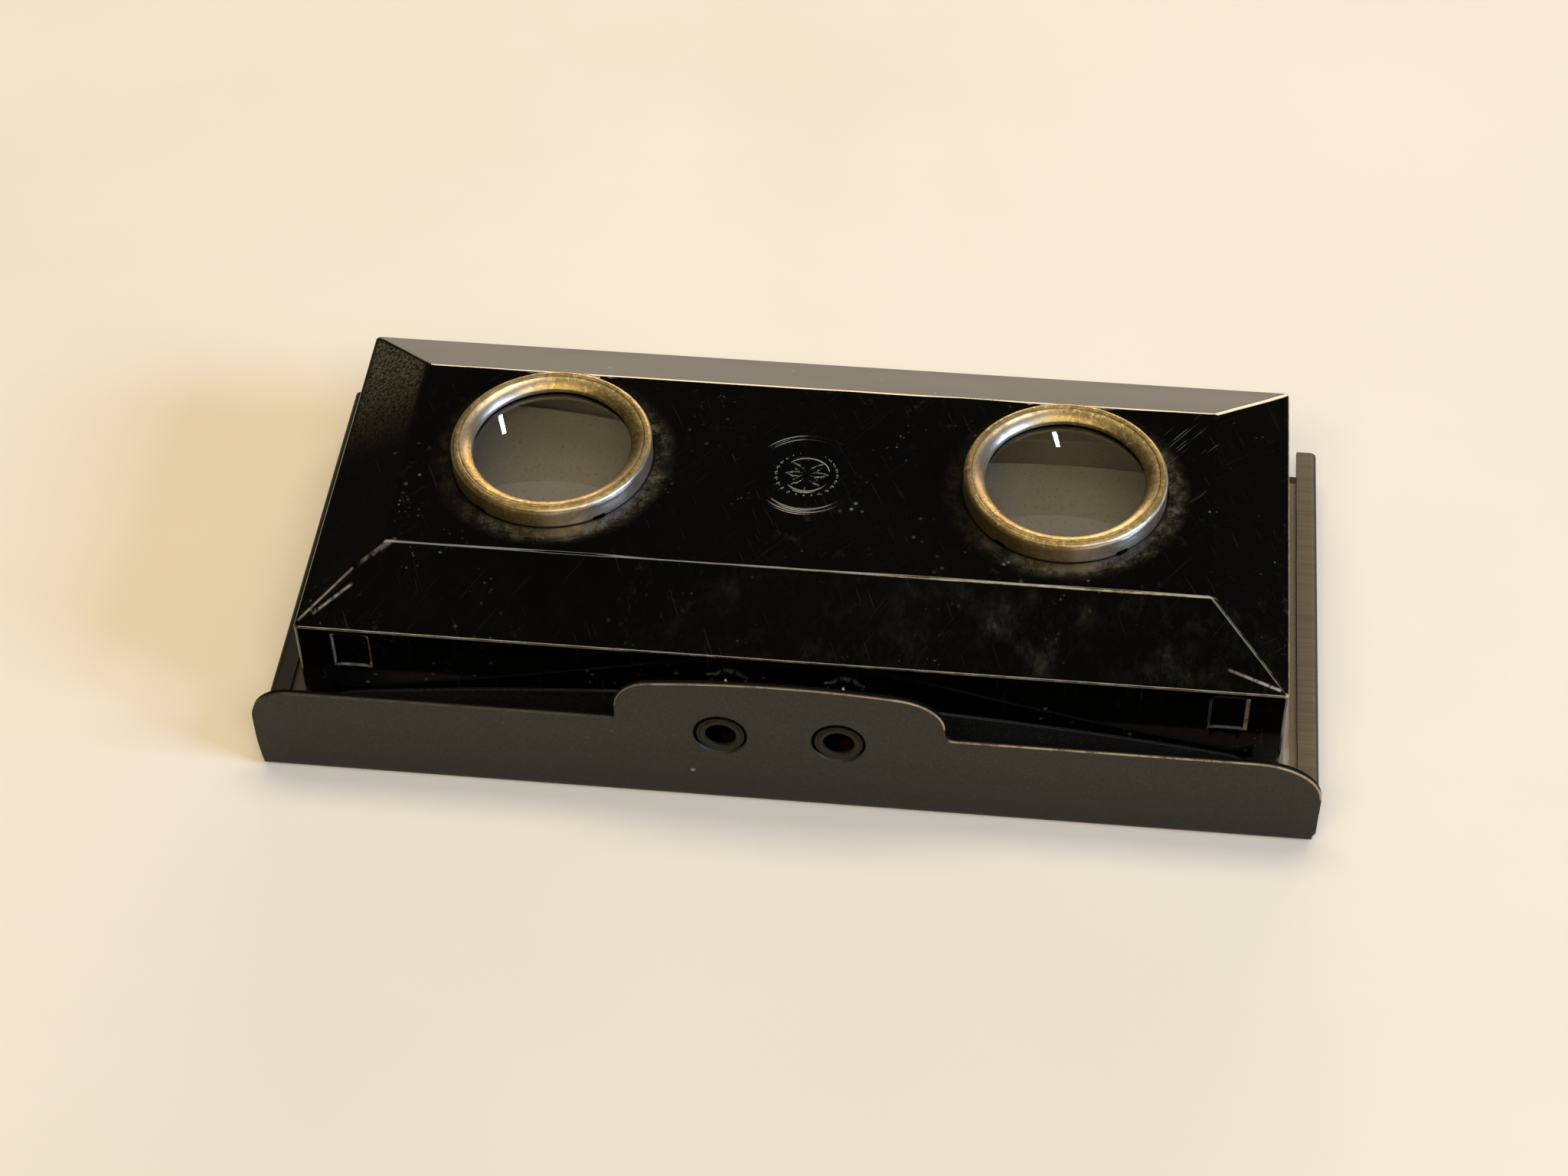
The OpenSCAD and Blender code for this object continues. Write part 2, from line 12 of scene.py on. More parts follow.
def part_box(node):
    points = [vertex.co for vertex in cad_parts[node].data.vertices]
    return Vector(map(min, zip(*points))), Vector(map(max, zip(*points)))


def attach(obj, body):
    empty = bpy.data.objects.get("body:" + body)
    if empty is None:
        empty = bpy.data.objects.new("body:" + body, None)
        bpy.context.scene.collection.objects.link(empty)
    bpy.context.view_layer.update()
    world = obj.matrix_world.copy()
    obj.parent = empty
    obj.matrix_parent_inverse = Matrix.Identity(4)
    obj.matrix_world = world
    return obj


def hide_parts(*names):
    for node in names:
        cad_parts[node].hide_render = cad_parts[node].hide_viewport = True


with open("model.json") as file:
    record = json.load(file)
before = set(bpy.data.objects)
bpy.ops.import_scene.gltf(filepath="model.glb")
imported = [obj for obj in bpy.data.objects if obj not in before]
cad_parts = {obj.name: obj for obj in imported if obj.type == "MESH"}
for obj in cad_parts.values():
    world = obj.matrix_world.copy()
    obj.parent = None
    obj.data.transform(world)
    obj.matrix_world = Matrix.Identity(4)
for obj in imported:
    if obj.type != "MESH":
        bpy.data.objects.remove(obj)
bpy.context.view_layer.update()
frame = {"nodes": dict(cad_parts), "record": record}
MM = 0.001

# The photograph's camera
PHOTO_W = 2048
FOCAL_PX = 4114.5
ELEVATION, AZIMUTH, ROLL = 47.0, 7.11, -1.27
DISTANCE = 0.40955
TARGET = Vector((-0.00263, -0.0023, 0.008))

# Sizes in millimetres that the pieces are fitted to, from the frame
SIDES = {"left": -1, "right": 1}


def box_mm(node):
    """Low and high corner of a CAD node in millimetres."""
    low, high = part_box(node)
    return [v / MM for v in low], [v / MM for v in high]


COVER_LO, COVER_HI = box_mm("cover")
TRAY_LO, TRAY_HI = box_mm("tray")
LENS_LO, LENS_HI = box_mm("lens_right")
RING_LO, RING_HI = box_mm("lens_ring_right")
COVER_Y = (COVER_LO[1] + COVER_HI[1]) / 2
HALF_W = COVER_HI[0]
HALF_D = (COVER_HI[1] - COVER_LO[1]) / 2
SKIRT_Z = COVER_LO[2]
PANEL_Z = LENS_LO[2]
EYE_X = (LENS_LO[0] + LENS_HI[0]) / 2
EYE_Y = (LENS_LO[1] + LENS_HI[1]) / 2
RING_R = (RING_HI[0] - RING_LO[0]) / 2
RING_H = RING_HI[2] - PANEL_Z
LENS_R = (LENS_HI[0] - LENS_LO[0]) / 2
END_X = TRAY_HI[0]
LIP_Y = TRAY_LO[1]
BACK_EDGE_Y = TRAY_HI[1]
TAB_H = TRAY_HI[2]

# Forms that the CAD model has too
SHEET_T = 0.8
FOOT_Z = 18.8
BEVEL_W, BEVEL_D = 9.9, 10.6
RIDGE_X, RIDGE_Y, BACK_RIDGE_Y = HALF_W - BEVEL_W, COVER_Y - HALF_D + BEVEL_D, COVER_Y + HALF_D - BEVEL_D
MITRE = BEVEL_W / BEVEL_D
EYE_R = 10.1
HOLE_R = 10.2
TAB_ANGLES = (30, 150, 270)
LIP_H, TAB_HALF_W = 14.1, 20.3
LIP_CORNERS = {-1: (5.2, 4.9), 1: (8.3, 6.0)}
TAB_CORNERS = {-1: (4.6, 4.5), 1: (6.8, 4.9)}
BEND_R, FLANGE_W, CHANNEL_TOP = 0.9, 2.7, 5.6
WINDOW_W, WINDOW_D, WINDOW_CORNER_R = 50.0, 36.0, 2.0
EYELET_X, EYELET_Z, TUBE_R, TUBE_HOLE_R = 7.3, 12.0, 2.25, 1.9
DIMPLE_DEEP, DIMPLE_IN_R, DIMPLE_OUT_R = 0.34, 3.03, 3.30
TONGUES = 8
LENS_CURVE, LENS_EDGE = 40.0, 1.15
CROWN_R = 140
LIP_SIDE = END_X - 0.1
CATCH_X, CATCH_Z, CATCH_HALF_W, CATCH_HALF_H, CATCH_R, CATCH_DEEP = 54.5, 15.1, 2.3, 2.8, 0.9, 0.4


def linear(r, g, b):
    """A colour as read on screen, 0 to 255, as the linear colour that a shader takes."""
    def one(c):
        c /= 255
        return c / 12.92 if c <= 0.04045 else ((c + 0.055) / 1.055) ** 2.4
    return (one(r), one(g), one(b), 1.0)


class Shader:
    """A small helper that builds one material's nodes. Places and sizes in it are in millimetres."""

    def __init__(self, name):
        self.material = bpy.data.materials.new(name)
        self.material.use_nodes = True
        self.tree = self.material.node_tree
        self.tree.nodes.clear()
        self.out = self.add("ShaderNodeOutputMaterial")
        place = self.add("ShaderNodeTexCoord").outputs["Object"]
        self.coord = self.add("ShaderNodeVectorMath", {0: place, "Scale": 1 / MM}, operation="SCALE").outputs[0]
        self.x, self.y, self.z = self.add("ShaderNodeSeparateXYZ", {0: self.coord}).outputs

    def add(self, kind, sockets=None, **settings):
        """Adds a node. sockets has values, or outputs to link, by the names or numbers of its sockets."""
        node = self.tree.nodes.new(kind)
        for key, value in settings.items():
            setattr(node, key, value)
        for key, value in (sockets or {}).items():
            if isinstance(value, bpy.types.NodeSocket):
                self.tree.links.new(value, node.inputs[key])
            else:
                node.inputs[key].default_value = value
        return node

    def noise(self, size, detail=3, rough=0.5, turn=(0, 0, 0), seed=0.0):
        """Cloudy pattern with spots of this size; three sizes make it longer one way."""
        sizes = size if isinstance(size, tuple) else (size, size, size)
        place = self.add("ShaderNodeMapping", {"Vector": self.coord, "Scale": sizes, "Rotation": turn},
                         vector_type="TEXTURE")
        return self.add("ShaderNodeTexNoise", {"Vector": place.outputs[0], "W": seed, "Scale": 1.0, "Detail": detail,
                                               "Roughness": rough}, noise_dimensions="4D").outputs["Fac"]

    def cells(self, size):
        """Distance from the nearest of many scattered points."""
        return self.add("ShaderNodeTexVoronoi", {"Vector": self.coord, "Scale": 1 / size}).outputs["Distance"]

    def ramp(self, value, low, high, to_low=0.0, to_high=1.0):
        """Smooth step from to_low at low to to_high at high."""
        return self.add("ShaderNodeMapRange", {"Value": value, "From Min": low, "From Max": high, "To Min": to_low,
                                               "To Max": to_high}, interpolation_type="SMOOTHSTEP").outputs[0]

    def math(self, kind, a, b=0.0):
        return self.add("ShaderNodeMath", {0: a, 1: b}, operation=kind).outputs[0]

    def plus(self, a, b):
        return self.math("ADD", a, b)

    def minus(self, a, b):
        return self.math("SUBTRACT", a, b)

    def size(self, a):
        return self.math("ABSOLUTE", a)

    def times(self, first, *others):
        for other in others:
            first = self.math("MULTIPLY", first, other)
        return first

    def most(self, first, *others):
        for other in others:
            first = self.math("MAXIMUM", first, other)
        return first

    def band(self, value, middle, half, soft):
        """1 within half of the middle, falling to 0 over soft."""
        off = self.size(self.minus(value, middle))
        return self.ramp(off, half + soft, half)

    def far(self, dx, dy):
        """Length of a step of dx and dy."""
        return self.math("SQRT", self.plus(self.times(dx, dx), self.times(dy, dy)))

    def off_pair(self, across):
        """x as measured from the nearer one of two places, at across and -across."""
        return self.minus(self.x, self.times(self.math("SIGN", self.x), across))

    def eye_radius(self):
        """Distance from the nearer lens axis."""
        return self.far(self.minus(self.size(self.x), EYE_X), self.minus(self.y, EYE_Y))

    def streak(self, x0, y0, x1, y1, half, soft):
        """A scratch between two points as seen from above."""
        dx, dy = self.minus(self.x, x0), self.minus(self.y, y0)
        length = hypot(x1 - x0, y1 - y0)
        ux, uy = (x1 - x0) / length, (y1 - y0) / length
        along = self.plus(self.times(dx, ux), self.times(dy, uy))
        across = self.minus(self.times(dy, ux), self.times(dx, uy))
        return self.times(self.band(across, 0.0, half, soft), self.band(along, length / 2, length / 2 - soft, 2 * soft))

    def eyelet_radius(self, higher):
        """Distance from the nearer eyelet's axis, or from an axis this much higher."""
        return self.far(self.minus(self.size(self.x), EYELET_X), self.minus(self.z, EYELET_Z + higher))

    def mix(self, factor, a, b):
        return self.add("ShaderNodeMix", {0: factor, 6: a, 7: b}, data_type="RGBA").outputs[2]

    def paint(self, color, *layers):
        """Lays colours as read on screen over another, each where its mask is 1."""
        for mask, tone in layers:
            color = self.mix(mask, color, linear(*tone))
        return color

    def bump(self, height, strength, distance):
        """Relief of a surface; distance is in millimetres."""
        sockets = {"Strength": strength, "Distance": distance * MM, "Height": height}
        return self.add("ShaderNodeBump", sockets).outputs[0]

    def mixed(self, factor, first, second):
        """Two shaders in one."""
        return self.add("ShaderNodeMixShader", {0: factor, 1: first, 2: second}).outputs[0]

    def end(self, shader):
        """Takes this shader for the surface, and returns the material."""
        self.tree.links.new(shader, self.out.inputs["Surface"])
        return self.material

    def surface(self, **sockets):
        """Ends with the main shader, its sockets by name, an underscore for a space."""
        named = {key.replace("_", " "): value for key, value in sockets.items()}
        return self.end(self.add("ShaderNodeBsdfPrincipled", named).outputs[0])


def lip_half_width(z):
    """Half the lip's width at a height; its ends lean in a little near the table."""
    return LIP_SIDE - 0.55 * min(1.0, max(0.0, (6.5 - z) / 6.5)) ** 2


def crown(x):
    """Height of the tab's crowned edge."""
    return TAB_H - 0.02 - (CROWN_R - sqrt(CROWN_R ** 2 - x * x))


def cover_lacquer():
    """Glossy black, with dust, fine scratches, bare metal where the ridges are rubbed, and painted highlights on the
    edges of the catch recesses.
    """
    s = Shader("cover_lacquer")
    fine = s.noise(0.5, 3, 0.7)
    specks = s.times(s.ramp(s.cells(2.2), 0.16, 0.06), s.ramp(s.noise(14, 4, 0.65), 0.50, 0.68))
    flecks = s.times(s.ramp(s.cells(0.9), 0.22, 0.12), s.ramp(s.noise(7, 4, 0.7, seed=3), 0.56, 0.72))
    dust = s.times(s.ramp(s.noise(2.6, 6, 0.8), 0.55, 0.80), s.ramp(s.noise(20, 3, 0.6, seed=8), 0.45, 0.65))
    on_top = s.ramp(s.z, PANEL_Z - 0.6, PANEL_Z - 0.3)

    ring = s.eye_radius()
    side = s.ramp(s.minus(s.off_pair(EYE_X), s.minus(s.y, EYE_Y)), -8, 12, 0.25, 1.0)
    halo = s.times(on_top, s.ramp(ring, 16.2, 14.0), s.ramp(ring, 12.95, 13.3), side,
                   s.ramp(s.noise(1.7, 6, 0.8, seed=13), 0.40, 0.66, 0.1, 1.0))

    # hairlines: near the right ring, on the front left mitre, and a few elsewhere
    hair_a = s.ramp(s.noise((0.16, 9, 9), 2, 0.5, (0, 0, radians(-38))), 0.66, 0.72)
    hair_b = s.ramp(s.noise((0.18, 7, 7), 2, 0.5, (0, 0, radians(25)), seed=5), 0.67, 0.73)
    right_ring = s.times(s.band(s.x, 48.5, 2.5, 3), s.band(s.y, 10, 5, 5), on_top)
    hairs = s.most(s.times(hair_a, s.most(right_ring, 0.06)), s.times(hair_b, 0.12))
    broken = s.ramp(s.noise(0.9, 4, 0.75, seed=14), 0.36, 0.58)
    on_bevels = s.ramp(s.z, FOOT_Z - 0.05, FOOT_Z + 0.1)
    scratches = s.times(on_bevels, s.most(
        s.times(s.streak(-61.0, -23.6, -55.0, -17.2, 0.10, 0.22), s.ramp(broken, 0, 1, 0.55, 1.0)),
        s.times(s.streak(-59.2, -22.9, -54.8, -19.2, 0.06, 0.20), broken, 0.8),
        s.times(s.streak(-54.2, -16.6, -50.0, -13.6, 0.10, 0.35), broken, 0.45),
        s.times(s.streak(54.0, -22.0, 60.4, -23.9, 0.05, 0.20), s.ramp(broken, 0, 1, 0.2, 1.0),
                s.ramp(s.x, 53, 60, 0.35, 1.3))))

    # rubbed edges
    worn = s.ramp(s.noise((3.5, 1, 1), 5, 0.75, seed=2), 0.40, 0.60)
    front_ridge = s.times(s.band(s.y, RIDGE_Y - 0.02, 0.07, 0.13), s.band(s.z, PANEL_Z, 0.3, 0.3),
                          s.ramp(s.x, -20, -8), s.ramp(s.x, -12, 34, 0.16, 1.0),
                          s.ramp(s.x, RIDGE_X + 1, RIDGE_X - 0.6), s.ramp(worn, 0, 1, 0.35, 1))
    along = s.minus(RIDGE_Y, s.y)
    off_mitre = s.minus(s.x, s.plus(s.times(along, MITRE), RIDGE_X))
    right_mitre = s.times(s.band(off_mitre, 0.1, 0.08, 0.18), s.ramp(along, 0.0, 1.0), s.ramp(along, 10.6, 8.0, 0.3, 1),
                          s.ramp(s.noise(1.4, 5, 0.75, seed=6), 0.42, 0.58, 0.03, 0.26))
    foot = s.times(s.band(s.z, FOOT_Z - 0.02, 0.05, 0.10), s.ramp(worn, 0.2, 1.0, 0.10, 0.34))
    corner = s.times(s.band(s.x, HALF_W - 0.2, 0.2, 0.2), s.band(s.y, COVER_Y - HALF_D + 0.2, 0.2, 0.2),
                     s.band(s.z, FOOT_Z, 0.15, 0.2), 0.6)
    # painted highlight on the catch recesses' edges: all round the left one, down the right side of the right one, and
    # faintly along its bottom
    catch_u = s.minus(s.size(s.minus(s.size(s.x), CATCH_X)), CATCH_HALF_W)
    catch_v = s.minus(s.size(s.minus(s.z, CATCH_Z)), CATCH_HALF_H)
    ring_line = s.band(s.most(catch_u, catch_v), 0.0, 0.05, 0.13)
    right_side = s.times(s.band(s.x, CATCH_X + CATCH_HALF_W - 0.1, 0.14, 0.16), s.ramp(catch_v, 0.2, -0.1))
    catch = s.times(s.ramp(s.y, -20, -22), s.ramp(s.noise(1.2, 4, 0.7, seed=9), 0.3, 0.6, 0.4, 1.0),
                    s.most(s.times(ring_line, s.ramp(s.x, 0, -1), 0.42), s.times(right_side, 0.8),
                           s.times(ring_line, s.ramp(s.x, -1, 0), s.ramp(s.z, CATCH_Z - 2.2, CATCH_Z - 2.6), 0.3)))
    wear = s.most(front_ridge, right_mitre, foot, corner)

    # lighter, rougher haze, growing towards the back of the left bevel
    past_back = s.minus(s.y, BACK_RIDGE_Y)
    on_left = s.minus(s.minus(-RIDGE_X, s.x), s.times(past_back, MITRE))
    dull = s.times(s.ramp(s.y, 2, 24), s.ramp(s.z, FOOT_Z, FOOT_Z + 0.5), s.ramp(on_left, 0.0, 0.6),
                   s.ramp(s.x, -RIDGE_X - 0.2, -RIDGE_X - 1.4), s.ramp(s.noise(0.45, 4, 0.8, seed=15), 0.38, 0.62))

    # smears down the front bevel
    smear = s.times(s.ramp(s.noise((5, 8, 8), 6, 0.8, seed=11), 0.44, 0.70),
                    s.ramp(s.y, RIDGE_Y + 0.2, RIDGE_Y - 1.0), s.ramp(s.z, FOOT_Z - 0.4, FOOT_Z + 0.4),
                    s.ramp(s.x, -26, -6, 0.1, 1.0), s.ramp(s.noise(9, 3, 0.6, seed=12), 0.36, 0.66))

    soil = s.most(s.times(specks, 0.42), s.times(flecks, 0.34), s.times(dust, 0.14), s.times(halo, 0.20),
                  s.times(hairs, 0.50), s.times(smear, 0.05), s.times(dull, 0.32))
    # one pale tone for the scratches and for the painted highlight on the catches
    color = s.paint(linear(2, 2, 1), (soil, (142, 132, 104)), (wear, (172, 154, 116)),
                    (s.most(catch, s.times(scratches, 0.8)), (152, 143, 126)))
    rough = s.most(s.ramp(s.noise(26, 4, 0.6), 0.35, 0.75, 0.07, 0.14), s.times(soil, 1.4), s.times(smear, 0.3),
                   s.times(wear, 0.42), s.times(s.most(catch, scratches), 0.5), s.times(halo, 0.45))
    height = s.plus(s.times(fine, 0.10), s.noise(13, 3, 0.5))
    return s.surface(Base_Color=color, Roughness=rough, IOR=1.62, Normal=s.bump(height, 0.10, 0.3))


def satin(name, tone, light, rough, worn=None, shade=None, painted_shadow=None, gloss=1.5):
    """Worn satin lacquer with a fine grain. worn gives the rubbed places, and on the end strips a painted light line,
    with their tone and roughness; shade gives painted shade, darker, and the mask after it painted shadow, black and
    without gloss."""
    s = Shader(name)
    grain = s.noise(0.35, 4, 0.8)
    cloud = s.noise(24, 4, 0.6)
    specks = s.times(s.ramp(s.cells(2.6), 0.12, 0.05), s.ramp(s.noise(12, 3, 0.6, seed=4), 0.56, 0.70))
    color = s.paint(s.mix(s.ramp(cloud, 0.3, 0.75), linear(*tone), linear(*light)),
                    (s.ramp(grain, 0.50, 0.72, 0.0, 0.30), (92, 84, 62)),
                    (s.ramp(grain, 0.48, 0.30, 0.0, 0.6), (8, 7, 4)), (s.times(specks, 0.5), (150, 138, 112)))
    rough = s.ramp(cloud, 0.3, 0.8, *rough)
    black = 0.0
    # painted shade, darker
    if shade:
        color = s.paint(color, (shade(s), (14, 13, 6)))
    # painted shadow, black, and made metallic so that it keeps no gloss
    if painted_shadow:
        black = painted_shadow(s)
        color = s.paint(color, (black, (2, 2, 1)))
        rough = s.most(rough, s.times(black, 0.9))
    if worn:
        mask, worn_tone, worn_rough = worn(s)
        color = s.paint(color, (mask, worn_tone))
        rough = s.most(rough, s.times(mask, worn_rough))
    height = s.plus(s.times(grain, 0.6), s.times(cloud, 0.5))
    return s.surface(Base_Color=color, Roughness=rough, IOR=gloss, Metallic=black, Normal=s.bump(height, 0.30, 0.06))


def tray_shade(s):
    """Painted shade: less light lower on the lip, and the strips at the left end darkened as in shade."""
    left_strip = s.times(s.ramp(s.x, -60, -62), s.ramp(s.y, LIP_Y + 1, LIP_Y + 1.5), 0.85)
    return s.most(s.ramp(s.z, 13, 1, 0.0, 0.4), left_strip)


def tray_painted_shadows(s):
    """Painted shadow, in black: a crescent over each eyelet's head, where the dimple's upper edge shades it, and the
    lip's top cut edge behind its thin bright line.
    """
    # painted shadow over each eyelet's head
    shadow_over_heads = s.times(s.ramp(s.eyelet_radius(0.42), 3.42, 3.34), s.ramp(s.eyelet_radius(0.0), 2.9, 3.0),
                         s.ramp(s.y, LIP_Y + 1.5, LIP_Y + 1.0))
    # painted shade on the lip's top cut edge, behind its thin bright line
    edge = s.times(s.ramp(s.y, LIP_Y + 0.30, LIP_Y + 0.42), s.ramp(s.y, LIP_Y + 1.2, LIP_Y + 1.0),
                   s.ramp(s.z, 9.0, 10.0), 0.85)
    return s.most(shadow_over_heads, edge)


def lip_corner(s, x, z, w, h):
    """Thin line round one corner of the lip or its tab."""
    u = s.math("DIVIDE", s.minus(s.x, x), w)
    v = s.math("DIVIDE", s.minus(s.z, z), h)
    return s.times(s.band(s.far(u, v), 0.992, 0.010, 0.014), s.ramp(u, 0.0, 0.08), s.ramp(v, 0.0, 0.08))


def ear_painted_light(s):
    """Painted light: a light line on the end strips beside the cover, where the window light falls past the outer
    strip's step.
    """
    mask = s.times(s.band(s.x, 62.45, 0.22, 0.3), s.ramp(s.noise(3, 3, 0.6, seed=6), 0.3, 0.6, 0.5, 0.9))
    return mask, (176, 168, 152), 0.5


def ear_shade(s):
    """The left end strip lies in shade."""
    return s.ramp(s.x, -50, -58, 0.0, 0.85)


def tray_wear(s):
    """Bare edges of the lip and its tab, and the rubbed strip at the right end."""
    patches = s.ramp(s.noise(2.5, 5, 0.75, seed=1), 0.36, 0.58)
    front = s.ramp(s.y, LIP_Y + 0.26, LIP_Y + 0.12)
    off_tab = s.ramp(s.size(s.x), TAB_HALF_W + 0.2, TAB_HALF_W + 0.9)
    lip_edge = s.times(s.ramp(s.z, LIP_H - 0.16, LIP_H - 0.06), front, off_tab, s.ramp(s.x, 0, 32, 0.10, 0.9),
                       s.ramp(patches, 0, 1, 0.25, 1))
    crowned = s.plus(s.z, s.math("DIVIDE", s.times(s.x, s.x), 2 * CROWN_R))
    tab_edge = s.times(s.ramp(crowned, TAB_H - 0.16, TAB_H - 0.06), front, s.ramp(patches, 0, 1, 0.25, 0.6),
                       s.ramp(s.size(s.x), 16.5, 15.0))
    corners = []
    for side in (-1, 1):
        w, h = TAB_CORNERS[side]
        x = side * (TAB_HALF_W - w)
        corners.append(lip_corner(s, x, crown(x) - h, side * w, h))
    w, h = LIP_CORNERS[1]
    corners.append(lip_corner(s, lip_half_width(LIP_H - h) - w, LIP_H - h, w, h))
    corners = s.times(s.most(*corners), front, s.ramp(s.x, -21, 21, 0.4, 0.9), s.ramp(patches, 0, 1, 0.5, 1))
    strip = s.times(s.ramp(s.z, CHANNEL_TOP - 0.3, CHANNEL_TOP - 0.1), s.ramp(s.x, 62.5, 63.5), 0.8,
                    s.ramp(s.z, CHANNEL_TOP + 1, CHANNEL_TOP + 0.5), s.ramp(s.y, LIP_Y + 1, LIP_Y + 1.5))
    notches = s.ramp(s.noise((20, 0.5, 20), 3, 0.8, seed=2), 0.40, 0.56, 0.24, 0.32)
    fleck = s.most(0.0, s.minus(1.0, s.times(2.6, s.far(s.minus(s.x, -10.9), s.minus(s.z, 5.3)))))
    return s.most(lip_edge, tab_edge, corners, s.times(strip, notches), s.times(fleck, 0.8)), (180, 156, 118), 0.46


def spring_wear(s):
    """Flecks along the spring's front face."""
    mask = s.times(s.ramp(s.noise(1.0, 5, 0.8, seed=5), 0.50, 0.62), s.ramp(s.y, -28.6, -29.0), 0.45)
    return mask, (104, 96, 70), 0.5


def hinge_wire():
    """Bare steel wire with brown stains."""
    s = Shader("hinge_wire")
    stain = s.ramp(s.noise(3.0, 5, 0.65), 0.42, 0.68)
    return s.surface(Base_Color=s.mix(stain, linear(150, 148, 142), linear(80, 66, 50)), Metallic=0.9,
                     Roughness=s.ramp(stain, 0, 1, 0.35, 0.6), Normal=s.bump(s.noise(0.5, 3, 0.6), 0.2, 0.05))


def eyelet_metal():
    """Blackened steel, rusty inside the tubes, with bare points; painted shade makes the tubes' bores black and without
    gloss.
    """
    s = Shader("eyelet_steel")
    low_right = s.minus(s.off_pair(EYELET_X), s.minus(s.z, EYELET_Z))
    rust = s.times(s.ramp(s.noise(0.7, 4, 0.7), 0.36, 0.58), s.ramp(low_right, 1.3, 2.5),
                   s.ramp(s.y, LIP_Y + 0.5, LIP_Y + 0.9), s.ramp(s.y, LIP_Y + 3.6, LIP_Y + 2.6))
    points = s.ramp(s.y, LIP_Y + 4.6, LIP_Y + 5.2)
    # painted shade: the tube's bore black and without gloss
    painted_hole_shade = s.times(s.ramp(s.y, LIP_Y + 0.45, LIP_Y + 0.8), s.ramp(s.y, LIP_Y + 4.6, LIP_Y + 4.2))
    bare = s.times(points, s.ramp(s.noise(0.8, 4, 0.7, seed=2), 0.36, 0.56, 0.35, 1.0))
    color = s.paint(linear(30, 26, 16), (s.noise(1.2, 4, 0.7), (42, 37, 25)), (painted_hole_shade, (1, 1, 1)),
                    (s.times(rust, 0.6), (70, 36, 20)), (bare, (214, 204, 180)))
    return s.surface(Base_Color=color, Metallic=s.most(s.times(points, 0.2), painted_hole_shade), IOR=1.25,
                     Roughness=s.most(s.ramp(rust, 0, 1, 0.55, 0.8), s.times(painted_hole_shade, 0.85)),
                     Normal=s.bump(s.noise(0.3, 3, 0.6), 0.3, 0.05))


def ring_metal():
    """Mottled brass, dark and dirty in places. Some of its plating is left, pale and smoother, on the lower right of
    the outer wall and the upper left of the slope, where the window's light is reflected: partly a painted highlight.
    The outer wall is darker, partly dirt and partly a painted reflection of the black cover.
    """
    s = Shader("ring_metal")
    r = s.eye_radius()
    dx, dy = s.off_pair(EYE_X), s.minus(s.y, EYE_Y)
    lower_right = s.ramp(s.minus(s.times(dx, 0.80), s.times(dy, 0.60)), 7, 12)
    upper_left = s.ramp(s.minus(s.times(dy, 0.50), s.times(dx, 0.87)), 6, 10.5)
    slope = s.ramp(r, 12.0, 11.5)
    wall = s.times(s.ramp(r, RING_R - 0.75, RING_R - 0.15), s.ramp(s.z, PANEL_Z + 3.0, PANEL_Z + 2.75))
    blotch = s.noise(4.0, 6, 0.75)
    fleck = s.noise(0.55, 5, 0.8, seed=2)
    # plating and painted highlight: pale, smoother metal where the window's light is reflected
    plating_highlight = s.times(s.most(s.times(wall, lower_right), s.times(slope, upper_left), s.times(slope, lower_right, 0.35)),
                     s.ramp(blotch, 0.66, 0.48, 0.4, 1.0))
    rim = s.times(s.band(r, RING_R - 0.06, 0.05, 0.06), s.ramp(s.z, PANEL_Z + 1.9, PANEL_Z + 2.2), s.ramp(dy, -4, 4))
    dirt = s.most(s.ramp(s.noise(2.2, 5, 0.75, seed=3), 0.56, 0.74, 0.0, 0.5),
                  s.times(s.band(r, 11.83, 0.04, 0.07), 0.5), s.times(s.band(r, EYE_R + 0.02, 0.04, 0.10), 0.6),
                  s.ramp(s.z, PANEL_Z + 0.45, PANEL_Z + 0.12, 0.0, 0.9))
    # the outer wall is painted darker, partly dirt and partly a painted reflection of the black cover beside it
    color = s.paint(linear(172, 148, 98), (s.ramp(blotch, 0.36, 0.62), (134, 114, 70)),
                    (s.times(s.ramp(fleck, 0.52, 0.64), 0.8), (226, 204, 142)),
                    (s.times(s.ramp(fleck, 0.46, 0.34), 0.8), (60, 50, 28)), (s.times(wall, 0.6), (116, 98, 66)),
                    (plating_highlight, (236, 214, 184)), (s.times(rim, 0.7), (190, 186, 180)), (dirt, (50, 38, 20)))
    height = s.plus(s.plus(s.noise(1.6, 4, 0.65), s.times(fleck, 0.45)), s.times(dirt, -0.4))
    rough = s.most(s.ramp(plating_highlight, 0, 1, 0.44, 0.30), s.ramp(dirt, 0, 1, 0.30, 0.6))
    return s.surface(Base_Color=color, Metallic=s.ramp(dirt, 0, 1, 0.92, 0.4), Roughness=rough,
                     Normal=s.bump(height, 0.35, 0.12))


